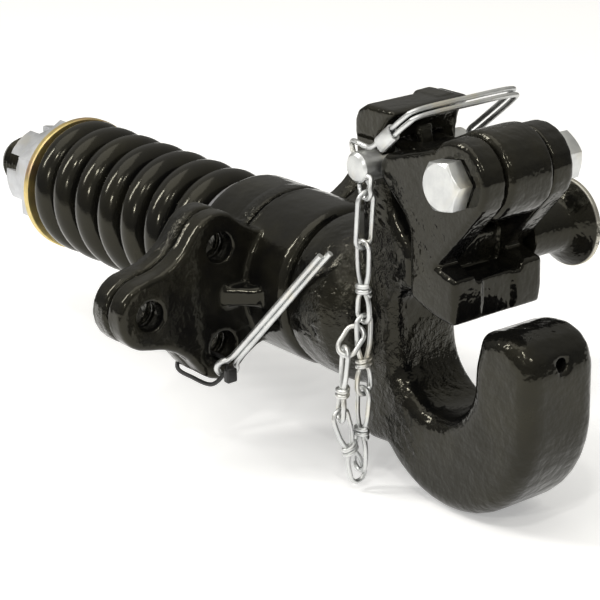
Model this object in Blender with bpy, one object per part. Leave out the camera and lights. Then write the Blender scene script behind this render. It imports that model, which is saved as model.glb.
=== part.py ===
"""Swivel pintle hook with a spring-cushioned shank.

The origin is on the shank axis, in the parting plane of the two flanges.
+X runs along the shank to the hook's tip, +Z is up and -Y is the pin's pull side.
Sizes below are in millimetres and become metres through MM.
"""

import math

import bmesh
import bpy
from mathutils import Matrix, Vector

MM = 0.001
GAP = 0.3
ROUND = 32
CUT_REACH = 90.0

# Flanged housings
FLANGE_THICK = 14.0
FLANGE_LOBE_R = 19.5
FLANGE_WAIST_R = 40.0
FLANGE_HOLE_R = 8.3
FLANGE_LOBE_END = 112.0
FLANGE_DIP = ((45.5, 38.6), (38.0, 34.0), (28.0, 31.0))
INNER_HOLE_Y = 61.0
INNER_HOLE_Z = 28.0
OUTER_HOLE_Y = 107.0
HOUSING_R = 45.4
HOUSING_EDGE = 5.0
FRONT_HOUSING_LENGTH = 47.0
REAR_HOUSING_LENGTH = 40.5
RIB_THICK = 11.0
RIB_HEIGHT = 16.0
RIB_REACH = 62.0
PARTING_GAP = 0.8

# Shank, bushes and spring end
SHANK_R = 18.0
BUSH_WALL = 4.0
THREAD_R = 16.6
SEAT_WASHER_THICK = 4.0
SEAT_WASHER_R = 41.5
SPRING_LENGTH = 174.0
SPRING_WIRE_R = 9.4
SPRING_OUTER_R = 42.0
SPRING_TURNS = 7.0
SPRING_END_TURNS = 0.9
SPRING_END_PITCH = 20.2
SPRING_GRIND = 5.5
SPRING_STEPS = 20
SPRING_START = 60.0
END_WASHER_THICK = 4.6
END_WASHER_R = 42.6
NUT_FLATS = 65.0
NUT_HEIGHT = 21.0
NUT_TURN = 30.0
CROWN_R = 29.0
CROWN_HEIGHT = 24.0
SLOT_WIDTH = 10.0
SLOT_DEPTH = 13.0
SLOT_TURN = 38.0
THREAD_TAIL = 29.0
THREAD_DOME = 5.0

# Neck and hook
NECK_R = 45.0
NECK_LENGTH = 46.0
HOOK_HALF = 24.0
HOOK_ROUND = 12.0
SHOULDER_HALF = 23.4
SHOULDER_ROUND = 6.0
THROAT_X = 141.0
THROAT_Z = -11.0
THROAT_R = 29.0
BOWL_X = 150.0
BOWL_Z = -27.0
BOWL_R = 62.5
TIP_TOP_Z = 18.0
TIP_REAR_Z = 14.0
TIP_HOLE_R = 3.5
TIP_HOLE_DEPTH = 12.0
HEEL_X = 84.5
HEEL_Z = -70.0

# Horn and hinge
HINGE_X = 166.3
HINGE_Z = 91.1
HUB_R = 23.0
HORN_HALF = 15.0
HORN_ROUND = 2.5
BOLT_R = 7.9
BOLT_FLATS = 23.8
BOLT_HEAD = 10.2
HINGE_NUT_HEIGHT = 13.5
BOLT_TAIL = 4.0

# Latch
LATCH_HALF = 30.0
EAR_R = 21.0
LATCH_ROUND = 2.5
LATCH_SWEEP_R = 74.3
LOBE_X = 118.5
LOBE_Z = 86.5
LOBE_R = 9.2
LATCH_REAR_X = 132.0
JAW_FRONT_X = 166.0
JAW_BACK_X = 140.0
JAW_TOP_Z = 41.0
JAW_RECESS = 1.8
JAW_RECESS_HALF = 11.0
NOTCH_X = 152.5
NOTCH_Z = 45.0
WEB_OUTLINE = ((137.4, 36.0), (145.6, 57.5), (149.6, 55.5), (147.0, 36.0))

# Lift knob on the latch's far cheek
KNOB_X = 147.0
KNOB_Z = 47.5
KNOB_STEM_R = 13.5
KNOB_R = 23.5
KNOB_LENGTH = 37.0
KNOB_RIM = 4.0

# Locking lever and its pin
PIN_X = 100.0
PIN_Z = 86.0
PIN_R = 8.0
PIN_NEAR_Y = -37.5
PIN_FAR_Y = 37.5
PIN_CROSS_HOLE_Y = -33.4
PIN_CROSS_HOLE_R = 1.9
LEVER_HALF = 26.0
LEVER_REAR_X = 86.0
LEVER_FRONT_X = 116.0
LEVER_FLOOR_Z = 98.0
LEVER_TOP_Z = 116.0
LEVER_SCOOP_R = 15.0
LEVER_STEM_R = 13.0
SKIRT_LOW_Z = 87.5
SKIRT_FRONT_X = 106.5
HUMP_OUTLINE = ((6.0, 112.0), (10.0, 116.5), (20.0, 116.9), (24.5, 112.0))
SLOT_HALF = 6.6
STEM_NEAR_Y = -2.2
LOCK_SPRING_WIRE_R = 0.6
LOCK_SPRING_R = 10.2
LOCK_SPRING_TURNS = 1.5
LOCK_SPRING_PITCH = 1.75

# Wire bail, chain and cotter
BAIL_WIRE_R = 1.35
BAIL_PAIR = 3.5
BAIL_REACH = 55.0
BAIL_TILT = 40.0
BAIL_STUB = 1.4
BAIL_FAR_Y = 34.2
BAIL_NEAR_Y = -3.0
FERRULE_UP = 31.0
FERRULE_WALL = 1.3
FERRULE_LENGTH = 13.0
EYE_SPREAD = 30.0
EYE_FOOT_Y = -2.2
EYE_Y = -4.0
EYE_DROP = 9.0
EYE_HALF = 4.2
EYE_SLACK = 0.7
LINK_WIRE_R = 1.35
LINK_WIDTH = 5.4
LINK_CROSSING = 1.75
RING_LINKS = (1, 7)
RING_WIDTH = 5.0
RUN_LENGTHS = (30.1, 43.4, 43.4, 48.0)
RUN_LAP = 3.35
RUN_LEANS = (-6.0, -1.0, -0.7, -5.6)
BIGHT_FOLD = ((-8.0, -0.7, -160.3), (-8.1, -11.7, -117.7))
BIGHT_RISE = ((-8.8, -12.2, -123.1), (-5.4, -10.5, -82.0))
BIGHT_RING = ((-6.6, -11.8, -85.9), (-5.0, -1.6, -73.9))
BIGHT_TURNS = (80.9, 158.2, 32.7)
COTTER_LEG_R = 1.5
COTTER_LENGTH = 96.0
COTTER_EYE_R = 5.4
TIE_STRAP_R = 1.5
TIE_RADIAL = 21.8
TIE_TURN = 238.0
TIE_FRONT = 9.5
TIE_SEAT = 6.2
COTTER_SEAT = 0.5


def clear_scene():
    """Remove every object that the scene holds."""
    for item in list(bpy.data.objects):
        bpy.data.objects.remove(item, do_unlink=True)


def finish(name, colour, roughness, metallic):
    """Return a Principled material."""
    material = bpy.data.materials.new(name)
    material.use_nodes = True
    shader = material.node_tree.nodes["Principled BSDF"]
    shader.inputs["Base Color"].default_value = (*colour, 1.0)
    shader.inputs["Roughness"].default_value = roughness
    shader.inputs["Metallic"].default_value = metallic
    return material


def place(name, mesh, material):
    """Link a mesh as a named object with one material and smooth shading."""
    item = bpy.data.objects.new(name, mesh)
    bpy.context.collection.objects.link(item)
    mesh.materials.clear()
    mesh.materials.append(material)
    mesh.shade_smooth()
    mesh.set_sharp_from_angle(angle=math.radians(35))
    return item


def to_mesh(name, shape):
    """Store a bmesh, given in millimetres, as a mesh in metres."""
    bmesh.ops.recalc_face_normals(shape, faces=shape.faces)
    if shape.calc_volume(signed=True) < 0:
        bmesh.ops.reverse_faces(shape, faces=shape.faces)
    bmesh.ops.scale(shape, vec=(MM, MM, MM), verts=shape.verts)
    mesh = bpy.data.meshes.new(name)
    shape.to_mesh(mesh)
    shape.free()
    return mesh


def turned(profile, sides=ROUND, axis="X", centre=(0, 0, 0), ring=False):
    """Turn (along, radius) points about an axis.

    A solid profile starts and ends on the axis, and a ring closes on itself.
    """
    shape = bmesh.new()
    loops = []
    for along, radius in profile:
        if radius < 1e-6:
            loops.append([shape.verts.new((along, 0, 0))])
            continue
        turn = [2 * math.pi * (i + 0.5) / sides for i in range(sides)]
        loops.append([shape.verts.new((along, radius * math.cos(a), radius * math.sin(a))) for a in turn])
    pairs = list(zip(loops, loops[1:]))
    if ring:
        pairs.append((loops[-1], loops[0]))
    for one, two in pairs:
        for i in range(sides):
            j = (i + 1) % sides
            corners = [one[i % len(one)], one[j % len(one)], two[j % len(two)], two[i % len(two)]]
            face = list(dict.fromkeys(corners))
            if len(face) > 2:
                shape.faces.new(face)
    turn_to = {"X": Matrix.Identity(4), "Y": Matrix.Rotation(math.pi / 2, 4, "Z")}[axis]
    shape.transform(Matrix.Translation(centre) @ turn_to)
    return to_mesh("turned", shape)


def prism(outline, low, high, axis="Y", bevel=0.0, steps=2):
    """Extrude a closed outline along an axis and round its rims."""
    shape = bmesh.new()
    ends = []
    for level in (low, high):
        if axis == "Y":
            points = [(a, level, b) for a, b in outline]
        elif axis == "X":
            points = [(level, a, b) for a, b in outline]
        else:
            points = [(a, b, level) for a, b in outline]
        ends.append([shape.verts.new(p) for p in points])
    count = len(outline)
    caps = [shape.faces.new(end) for end in ends]
    for i in range(count):
        j = (i + 1) % count
        shape.faces.new((ends[0][i], ends[0][j], ends[1][j], ends[1][i]))
    bmesh.ops.recalc_face_normals(shape, faces=shape.faces)
    if bevel:
        rims = list({edge for cap in caps for edge in cap.edges})
        bmesh.ops.bevel(shape, geom=rims, offset=bevel, segments=steps, profile=0.5,
                        affect="EDGES", clamp_overlap=True)
    return to_mesh("prism", shape)


def block(low, high):
    """Return a box between two corners."""
    outline = [(low[0], low[2]), (high[0], low[2]), (high[0], high[2]), (low[0], high[2])]
    return prism(outline, low[1], high[1])


def arc(centre, radius, start, end, steps):
    """Return points of an arc, with its angles in degrees."""
    angles = [math.radians(start + (end - start) * i / steps) for i in range(steps + 1)]
    return [(centre[0] + radius * math.cos(a), centre[1] + radius * math.sin(a)) for a in angles]


def combined(name, base, operations, material):
    """Union or cut meshes into a base mesh and place the result."""
    item = place(name, base, material)
    for operation, mesh in operations:
        other = place("operand", mesh, material)
        modifier = item.modifiers.new("step", "BOOLEAN")
        modifier.operation = operation
        modifier.solver = "EXACT"
        modifier.object = other
        graph = bpy.context.evaluated_depsgraph_get()
        result = bpy.data.meshes.new_from_object(item.evaluated_get(graph))
        item.modifiers.clear()
        item.data = result
        bpy.data.objects.remove(other, do_unlink=True)
    item.data.materials.clear()
    item.data.materials.append(material)
    item.data.shade_smooth()
    item.data.set_sharp_from_angle(angle=math.radians(35))
    return item


def wire(name, points, radius, material, closed=False, detail=1):
    """Return a round wire along points, as a bevelled curve with filled ends."""
    curve = bpy.data.curves.new(name, "CURVE")
    curve.dimensions = "3D"
    curve.bevel_depth = radius * MM
    curve.bevel_resolution = detail
    curve.use_fill_caps = not closed
    spline = curve.splines.new("POLY")
    spline.points.add(len(points) - 1)
    for point, place_at in zip(spline.points, points):
        point.co = (*(Vector(place_at) * MM), 1.0)
    spline.use_cyclic_u = closed
    item = bpy.data.objects.new(name, curve)
    bpy.context.collection.objects.link(item)
    curve.materials.append(material)
    return item


def smooth_path(knots, steps, closed=False):
    """Return a Catmull-Rom curve through knots."""
    points = [Vector(k) for k in knots]
    count = len(points)
    result = []
    for i in range(count if closed else count - 1):
        if closed:
            p0, p1, p2, p3 = (points[(i + j) % count] for j in (-1, 0, 1, 2))
        else:
            p0 = points[max(i - 1, 0)]
            p1 = points[i]
            p2 = points[i + 1]
            p3 = points[min(i + 2, count - 1)]
        for step in range(steps):
            t = step / steps
            result.append(0.5 * (2 * p1 + (p2 - p0) * t + (2 * p0 - 5 * p1 + 4 * p2 - p3) * t * t
                                 + (3 * p1 - p0 - 3 * p2 + p3) * t ** 3))
    if not closed:
        result.append(points[-1])
    return result


def report_self_gap(name, points, radius, turn_points):
    """Print the least gap between turns of a wound wire."""
    least = min((points[i] - points[j]).length
                for i in range(len(points)) for j in range(i + int(turn_points / 2), len(points)))
    print(name, "least gap to itself, mm:", round(least - 2 * radius, 2))


def hexagon(flats, centre, turn=0.0):
    """Return the corners of a hexagon from its width across flats."""
    radius = flats / math.sqrt(3)
    return [(centre[0] + radius * math.cos(math.radians(60 * i + turn)),
             centre[1] + radius * math.sin(math.radians(60 * i + turn))) for i in range(6)]


def flange_outline():
    """Return the six-lobed outline of a flange as (Y, Z) points."""
    inner = Vector((INNER_HOLE_Y, INNER_HOLE_Z))
    outer = Vector((OUTER_HOLE_Y, 0.0))
    middle = (inner + outer) / 2
    half = (outer - inner).length / 2
    reach = FLANGE_LOBE_R + FLANGE_WAIST_R
    away = Vector((inner.y - outer.y, outer.x - inner.x)).normalized()
    waist = middle + away * math.sqrt(reach * reach - half * half)
    to_outer = math.degrees(math.atan2(*(waist - outer).yx))
    to_inner = math.degrees(math.atan2(*(waist - inner).yx))
    quarter = arc(outer, FLANGE_LOBE_R, 0, to_outer, 5)
    quarter += arc(waist, FLANGE_WAIST_R, to_outer + 180, to_inner + 180, 4)[1:]
    quarter += arc(inner, FLANGE_LOBE_R, to_inner, FLANGE_LOBE_END, 5)[1:]
    quarter += FLANGE_DIP
    left = [(-y, z) for y, z in reversed(quarter)]
    upper = quarter + left
    lower = [(y, -z) for y, z in reversed(upper[1:-1])]
    return upper + lower


def housing(name, direction, length, material, ribbed):
    """Return one flanged housing half, standing out along the direction sign."""
    face = PARTING_GAP / 2
    plate = prism(flange_outline(), direction * face, direction * (face + FLANGE_THICK), "X", 1.6, 1)
    parting = direction * (face + 0.1)
    barrel = [(parting, 0.0), (parting, HOUSING_R),
              (direction * (length - HOUSING_EDGE), HOUSING_R),
              (direction * (length - HOUSING_EDGE * 0.3), HOUSING_R - HOUSING_EDGE * 0.3),
              (direction * length, HOUSING_R - HOUSING_EDGE), (direction * length, 0.0)]
    steps = [("UNION", turned(barrel, 48))]
    if ribbed:
        low = face + FLANGE_THICK - 1.0
        for side in (-1, 1):
            rib = [(side * (HOUSING_R - 6), low), (side * RIB_REACH, low),
                   (side * (HOUSING_R + 2), low + RIB_HEIGHT), (side * (HOUSING_R - 6), low + RIB_HEIGHT)]
            outline = [(x, y) for y, x in rib]
            steps.append(("UNION", prism(outline, -RIB_THICK / 2, RIB_THICK / 2, "Z", 1.5, 1)))
    for y, z in hole_places():
        steps.append(("DIFFERENCE", turned(bore_profile(FLANGE_HOLE_R), 20, "X", (0, y, z))))
    bush_r = SHANK_R + GAP + BUSH_WALL + GAP
    steps.append(("DIFFERENCE", turned(bore_profile(bush_r), ROUND)))
    return combined(name, plate, steps, material)


def bore_profile(radius):
    """Return the profile of a cutter that reaches past the part at both ends."""
    return [(-CUT_REACH, 0), (-CUT_REACH, radius), (CUT_REACH, radius), (CUT_REACH, 0)]


def hole_places():
    """Return the flange's bolt hole centres as (Y, Z)."""
    places = [(sy * INNER_HOLE_Y, sz * INNER_HOLE_Z) for sy in (-1, 1) for sz in (-1, 1)]
    return places + [(-OUTER_HOLE_Y, 0.0), (OUTER_HOLE_Y, 0.0)]


def tube_ring(name, low, high, inner, outer, material, edge=0.6, sides=ROUND):
    """Return a washer or bush about the shank axis."""
    profile = [(low, inner), (low, outer - edge), (low + edge, outer), (high - edge, outer),
               (high, outer - edge), (high, inner)]
    return place(name, turned(profile, sides, ring=True), material)


def shank_places():
    """Return the X stations of the spring end, from the housing backwards."""
    seat_front = -(REAR_HOUSING_LENGTH + GAP)
    spring_front = seat_front - SEAT_WASHER_THICK - GAP
    spring_back = spring_front - SPRING_LENGTH
    washer_front = spring_back - GAP
    nut_front = washer_front - END_WASHER_THICK - GAP
    thread_end = nut_front - NUT_HEIGHT - CROWN_HEIGHT - THREAD_TAIL
    return seat_front, spring_front, spring_back, washer_front, nut_front, thread_end


def cushion_spring(material):
    """Return the cushion spring with closed and ground ends."""
    front = shank_places()[1]
    back = shank_places()[2]
    mean_r = SPRING_OUTER_R - SPRING_WIRE_R
    start = front - (SPRING_WIRE_R - SPRING_GRIND)
    travel = SPRING_LENGTH - 2 * (SPRING_WIRE_R - SPRING_GRIND)
    free_turns = SPRING_TURNS - 2 * SPRING_END_TURNS
    pitch = (travel - 2 * SPRING_END_TURNS * SPRING_END_PITCH) / free_turns
    points = []
    for step in range(round(SPRING_TURNS * SPRING_STEPS) + 1):
        turn = step / SPRING_STEPS
        first = min(turn, SPRING_END_TURNS)
        last = max(0.0, turn - (SPRING_TURNS - SPRING_END_TURNS))
        along = SPRING_END_PITCH * (first + last) + pitch * (turn - first - last)
        angle = math.radians(SPRING_START) - 2 * math.pi * turn
        points.append(Vector((start - along, mean_r * math.cos(angle), mean_r * math.sin(angle))))
    report_self_gap("cushion_spring", points, SPRING_WIRE_R, SPRING_STEPS)
    coil = wire("coil_guide", points, SPRING_WIRE_R, material)
    graph = bpy.context.evaluated_depsgraph_get()
    mesh = bpy.data.meshes.new_from_object(coil.evaluated_get(graph))
    bpy.data.objects.remove(coil, do_unlink=True)
    cuts = [("DIFFERENCE", block((front, -60, -60), (front + 40, 60, 60))),
            ("DIFFERENCE", block((back - 40, -60, -60), (back, 60, 60)))]
    return combined("cushion_spring", mesh, cuts, material)


def castle_nut(material):
    """Return the slotted nut on the shank's thread."""
    front = shank_places()[4]
    body = prism(hexagon(NUT_FLATS, (0, 0), NUT_TURN), front - NUT_HEIGHT, front, "X", 1.2, 1)
    rear = front - NUT_HEIGHT
    end = rear - CROWN_HEIGHT
    crown = [(rear + 2, 0), (rear + 2, CROWN_R), (end + 2, CROWN_R), (end, CROWN_R - 2), (end, 0)]
    steps = [("UNION", turned(crown))]
    hole_r = THREAD_R + GAP
    bore = [(end - 9, 0), (end - 9, hole_r), (front + 9, hole_r), (front + 9, 0)]
    steps.append(("DIFFERENCE", turned(bore)))
    half = SLOT_WIDTH / 2
    for step in range(3):
        cutter = [(-60, -half), (60, -half), (60, half), (-60, half)]
        turn = math.radians(60 * step + SLOT_TURN)
        outline = [(a * math.cos(turn) - b * math.sin(turn), a * math.sin(turn) + b * math.cos(turn))
                   for a, b in cutter]
        steps.append(("DIFFERENCE", prism(outline, end - 9, end + SLOT_DEPTH, "X")))
    return combined("castle_nut", body, steps, material)


def hook_outline():
    """Return the side outline of the J-shaped hook as (X, Z) points."""
    bowl = arc((BOWL_X, BOWL_Z), BOWL_R, 222, 355, 14)
    tip_front = BOWL_X + BOWL_R
    dome = [(tip_front, TIP_TOP_Z - 18), (tip_front - 3, TIP_TOP_Z - 9), (tip_front - 9, TIP_TOP_Z - 3),
            (tip_front - 18, TIP_TOP_Z), (tip_front - 29, TIP_TOP_Z - 1.0), (tip_front - 38, TIP_REAR_Z)]
    throat = arc((THROAT_X, THROAT_Z), THROAT_R, 0, -180, 14)
    throat[0] = (throat[0][0], throat[0][1] + 8)
    wall = [(THROAT_X - THROAT_R, 18.0), (THROAT_X - THROAT_R - 10, 60.0)]
    back = [(HEEL_X, 60.0), (HEEL_X, HEEL_Z + 8), (HEEL_X + 3, HEEL_Z)]
    return bowl + dome + throat + wall + back


def shoulder_outline():
    """Return the side outline of the shoulder over the throat, cleared for the latch's swing."""
    hinge = (HINGE_X, HINGE_Z)
    sweep = LOBE_R + math.hypot(HINGE_X - LOBE_X, HINGE_Z - LOBE_Z) + 4.0
    inside = THROAT_X - THROAT_R
    roof = [(inside - 6, 4.0), (inside, 14.0), (inside + 4, 20.0), (126.0, 23.0), (128.0, 26.0)]
    relief = arc(hinge, sweep, 233, 190, 5)
    rear = HEEL_X + 0.6
    back = [(96.0, 79.0), (rear + 4, 74.0), (rear, 66.0), (rear, 4.0)]
    return roof + relief + back


def horn_outline():
    """Return the side outline of the upper horn and its hub as (X, Z) points."""
    hub = arc((HINGE_X, HINGE_Z), HUB_R, -118, 128, 14)
    top = [(136.0, 102.0), (124.0, 97.0), (97.0, LEVER_FLOOR_Z - 1.2), (90.0, 91.0), (89.0, 70.0),
           (92.0, 30.0)]
    front = [(112.0, 21.0), (127.0, 24.0), (134.0, 42.0), (142.0, 58.0)]
    return hub + top + front


def hook_body(material):
    """Return the forging: shank, neck, hook and horn."""
    places = shank_places()
    thread_front = places[3]
    thread_end = places[5]
    neck_front = FRONT_HOUSING_LENGTH + GAP
    dome = THREAD_DOME / 3
    profile = [(thread_end, 0), (thread_end, THREAD_R - 2 * dome), (thread_end + dome, THREAD_R - dome),
               (thread_end + 3 * dome, THREAD_R),
               (thread_front, THREAD_R), (thread_front, SHANK_R), (neck_front, SHANK_R),
               (neck_front, NECK_R - 4), (neck_front + 3, NECK_R - 1), (neck_front + 12, NECK_R),
               (neck_front + NECK_LENGTH - 14, NECK_R), (neck_front + NECK_LENGTH, NECK_R - 9),
               (neck_front + NECK_LENGTH, 0)]
    steps = [("UNION", prism(hook_outline(), -HOOK_HALF, HOOK_HALF, "Y", HOOK_ROUND, 4)),
             ("UNION", prism(shoulder_outline(), -SHOULDER_HALF, SHOULDER_HALF, "Y", SHOULDER_ROUND, 2)),
             ("UNION", prism(horn_outline(), -HORN_HALF, HORN_HALF, "Y", HORN_ROUND, 2))]
    slot_low = PIN_Z - LEVER_STEM_R - 2.0
    slot = block((60, -SLOT_HALF, slot_low), (PIN_X + LEVER_STEM_R + 3, SLOT_HALF, 140))
    steps.append(("DIFFERENCE", slot))
    steps.append(("DIFFERENCE", cross_bore(PIN_X, PIN_Z, PIN_R + GAP)))
    steps.append(("DIFFERENCE", cross_bore(HINGE_X, HINGE_Z, BOLT_R + GAP)))
    tip_front = BOWL_X + BOWL_R
    hole = [(tip_front - TIP_HOLE_DEPTH, 0), (tip_front - TIP_HOLE_DEPTH, TIP_HOLE_R),
            (tip_front + 20, TIP_HOLE_R), (tip_front + 20, 0)]
    steps.append(("DIFFERENCE", turned(hole, 12, "X", (0, 0, 3.0))))
    return combined("hook_body", turned(profile, 48), steps, material)


def cross_bore(x, z, radius):
    """Return a long cutter along Y for a pin or bolt hole."""
    return turned(bore_profile(radius), 24, "Y", (x, 0, z))


def latch_outline():
    """Return the side outline of the latch as (X, Z) points."""
    hinge = (HINGE_X, HINGE_Z)
    ear = arc(hinge, EAR_R, -50, 140, 10)
    lobe = arc((LOBE_X, LOBE_Z), LOBE_R, 85, 225, 6)
    rear_angle = 180 + math.degrees(math.acos((HINGE_X - LATCH_REAR_X) / LATCH_SWEEP_R))
    front_angle = 270 - math.degrees(math.asin((HINGE_X - JAW_FRONT_X + 1.5) / LATCH_SWEEP_R))
    sweep = arc(hinge, LATCH_SWEEP_R, rear_angle, front_angle, 5)
    waist = [(LATCH_REAR_X - 4, 66.0), (LATCH_REAR_X, 59.0)]
    jaw = [(JAW_FRONT_X, 26.0), (JAW_FRONT_X, JAW_TOP_Z), (NOTCH_X, NOTCH_Z)]
    return ear + lobe + waist + sweep + jaw


def latch(material):
    """Return the latch: two cheeks joined by the jaw."""
    body = prism(latch_outline(), -LATCH_HALF, LATCH_HALF, "Y", LATCH_ROUND, 2)
    clear = HORN_HALF + 0.6
    floor = JAW_TOP_Z - 3
    opening = [(60, -40), (JAW_BACK_X, -40), (JAW_BACK_X, floor), (230, floor), (230, 160), (60, 160)]
    recess = JAW_FRONT_X - JAW_RECESS
    steps = [("DIFFERENCE", prism(opening, -clear, clear)),
             ("UNION", prism(WEB_OUTLINE, -clear - 1, clear + 1)),
             ("DIFFERENCE", block((recess, -JAW_RECESS_HALF, -40), (JAW_FRONT_X + 40, JAW_RECESS_HALF, 80)))]
    steps.append(("DIFFERENCE", cross_bore(HINGE_X, HINGE_Z, BOLT_R + GAP)))
    return combined("latch", body, steps, material)


def latch_knob(material):
    """Return the lift knob, turned about Y."""
    start = LATCH_HALF + GAP
    end = start + KNOB_LENGTH
    profile = [(start, 0), (start, KNOB_STEM_R), (end - 15, KNOB_STEM_R), (end - 11, KNOB_STEM_R + 2),
               (end - 7, KNOB_R - 4), (end - KNOB_RIM, KNOB_R), (end - 0.8, KNOB_R), (end, KNOB_R - 1),
               (end, 0)]
    return place("latch_knob", turned(profile, ROUND, "Y", (KNOB_X, 0, KNOB_Z)), material)


def hinge_bolt(material):
    """Return the hinge bolt with its hexagon head on the near side."""
    seat = -(LATCH_HALF + GAP)
    head = prism(hexagon(BOLT_FLATS, (HINGE_X, HINGE_Z), 8), seat - BOLT_HEAD, seat, "Y", 0.9, 1)
    end = LATCH_HALF + 2 * GAP + HINGE_NUT_HEIGHT + BOLT_TAIL
    stem = [(seat - 2, 0), (seat - 2, BOLT_R), (end - 1, BOLT_R), (end, BOLT_R - 1), (end, 0)]
    steps = [("UNION", turned(stem, 24, "Y", (HINGE_X, 0, HINGE_Z)))]
    return combined("hinge_bolt", head, steps, material)


def hinge_nut(material):
    """Return the hinge bolt's nut on the far side."""
    seat = LATCH_HALF + GAP
    body = prism(hexagon(BOLT_FLATS, (HINGE_X, HINGE_Z), 20), seat, seat + HINGE_NUT_HEIGHT, "Y", 0.9, 1)
    return combined("hinge_nut", body, [("DIFFERENCE", cross_bore(HINGE_X, HINGE_Z, BOLT_R + GAP))], material)


def lever_outline():
    """Return the side outline of the lever's thumb block as (X, Z) points."""
    scoop_z = LEVER_FLOOR_Z + 1.0
    scoop = arc((LEVER_FRONT_X + 6, scoop_z), LEVER_SCOOP_R, 183, 118, 5)
    crown = [(LEVER_FRONT_X + 1, LEVER_TOP_Z - 1.5), (LEVER_FRONT_X - 3, LEVER_TOP_Z),
             (LEVER_REAR_X + 9, LEVER_TOP_Z), (LEVER_REAR_X + 2.5, LEVER_TOP_Z - 4),
             (LEVER_REAR_X, LEVER_TOP_Z - 9), (LEVER_REAR_X, LEVER_FLOOR_Z)]
    return scoop + crown


def lock_lever(material):
    """Return the lock lever: a thumb block on a stem that rocks on the pin."""
    body = prism(lever_outline(), -LEVER_HALF, LEVER_HALF, "Y", 2.5, 2)
    far_y = SLOT_HALF - GAP
    stem = arc((PIN_X, PIN_Z), LEVER_STEM_R, 180, 360, 10)
    stem += [(PIN_X + LEVER_STEM_R - 4, LEVER_FLOOR_Z + 3), (PIN_X - LEVER_STEM_R + 2, LEVER_FLOOR_Z + 3)]
    steps = [("UNION", prism(stem, STEM_NEAR_Y, far_y)),
             ("UNION", prism(HUMP_OUTLINE, LEVER_REAR_X + 4, LEVER_FRONT_X - 5, "X", 1.5, 1))]
    skirt_in = HORN_HALF + 2 * GAP
    for side in (-1, 1):
        inner, outer = sorted((side * skirt_in, side * (LEVER_HALF - 1)))
        skirt = block((LEVER_REAR_X + 0.2, inner, SKIRT_LOW_Z), (SKIRT_FRONT_X, outer, LEVER_FLOOR_Z + 3))
        steps.append(("UNION", skirt))
    steps.append(("DIFFERENCE", cross_bore(PIN_X, PIN_Z, PIN_R + GAP)))
    return combined("lock_lever", body, steps, material)


def lock_spring(material):
    """Return the small torsion coil beside the lever's stem."""
    start = STEM_NEAR_Y - GAP - LOCK_SPRING_WIRE_R
    turn_points = 24
    points = []
    for step in range(round(LOCK_SPRING_TURNS * turn_points) + 1):
        turn = step / turn_points
        angle = 2 * math.pi * turn + math.radians(200)
        points.append(Vector((PIN_X + LOCK_SPRING_R * math.cos(angle), start - LOCK_SPRING_PITCH * turn,
                              PIN_Z + LOCK_SPRING_R * math.sin(angle))))
    report_self_gap("lock_spring", points, LOCK_SPRING_WIRE_R, turn_points)
    return wire("lock_spring", points, LOCK_SPRING_WIRE_R, material)


def bail_frame():
    """Return the bail's pivot, its rising direction and its hole direction."""
    tilt = math.radians(BAIL_TILT)
    rise = Vector((math.cos(tilt), 0, math.sin(tilt)))
    through = Vector((math.sin(tilt), 0, -math.cos(tilt)))
    return Vector((PIN_X, PIN_CROSS_HOLE_Y, PIN_Z)), rise, through


def safety_pin(material):
    """Return the headless pin with its cross hole near the pull end."""
    profile = [(PIN_NEAR_Y, 0), (PIN_NEAR_Y, PIN_R - 1.5), (PIN_NEAR_Y + 1.5, PIN_R),
               (PIN_FAR_Y - 3, PIN_R), (PIN_FAR_Y, PIN_R - 2.5), (PIN_FAR_Y, 0)]
    pin = turned(profile, 24, "Y", (PIN_X, 0, PIN_Z))
    pivot, rise, through = bail_frame()
    hole = bmesh.new()
    bmesh.ops.create_cone(hole, cap_ends=True, segments=12, radius1=PIN_CROSS_HOLE_R,
                          radius2=PIN_CROSS_HOLE_R, depth=4 * PIN_R)
    hole.transform(Matrix.Translation(pivot) @ through.to_track_quat("Z", "Y").to_matrix().to_4x4())
    return combined("safety_pin", pin, [("DIFFERENCE", to_mesh("hole", hole))], material)


def bail_knots():
    """Return the bail wire's route: through the hole, out along the bail and back."""
    pivot, rise, through = bail_frame()
    side = Vector((0, 1, 0))
    near = BAIL_NEAR_Y
    span = BAIL_FAR_Y - PIN_CROSS_HOLE_Y
    surface = PIN_R + BAIL_STUB
    far_stop = PIN_R + BAIL_WIRE_R + 0.8
    pair = BAIL_PAIR / 2

    def spot(along, up, depth):
        return pivot + side * along + rise * up + through * depth

    knots = [spot(0, 0, surface), spot(0, 0, PIN_R), spot(0, 0, -PIN_R),
             spot(0, 0, -surface), spot(-0.6, 2.2, -12.2), spot(-1.6, 5.4, -12.4), spot(near, 10.0, -9.0),
             spot(near, 16.0, -3.2), spot(near, 23.0, -pair), spot(near, 32.0, -pair),
             spot(near + 0.5, BAIL_REACH - 7, -pair), spot(near + 6, BAIL_REACH, -pair),
             spot(span / 2, BAIL_REACH + 1, -pair), spot(span - 5, BAIL_REACH, -pair),
             spot(span, BAIL_REACH - 7, -pair), spot(span - 1, 22.0, -pair),
             spot(span - 2, far_stop + 3.0, -1.6), spot(span - 2, far_stop, 0.0),
             spot(span - 2, far_stop + 3.0, 1.6), spot(span - 1, 22.0, pair),
             spot(span, BAIL_REACH - 7, pair), spot(span - 5, BAIL_REACH, pair),
             spot(span / 2, BAIL_REACH + 1, pair), spot(near + 6, BAIL_REACH, pair),
             spot(near + 0.5, BAIL_REACH - 7, pair), spot(near, 32.0, pair), spot(near, 24.0, pair)]
    return knots


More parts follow.
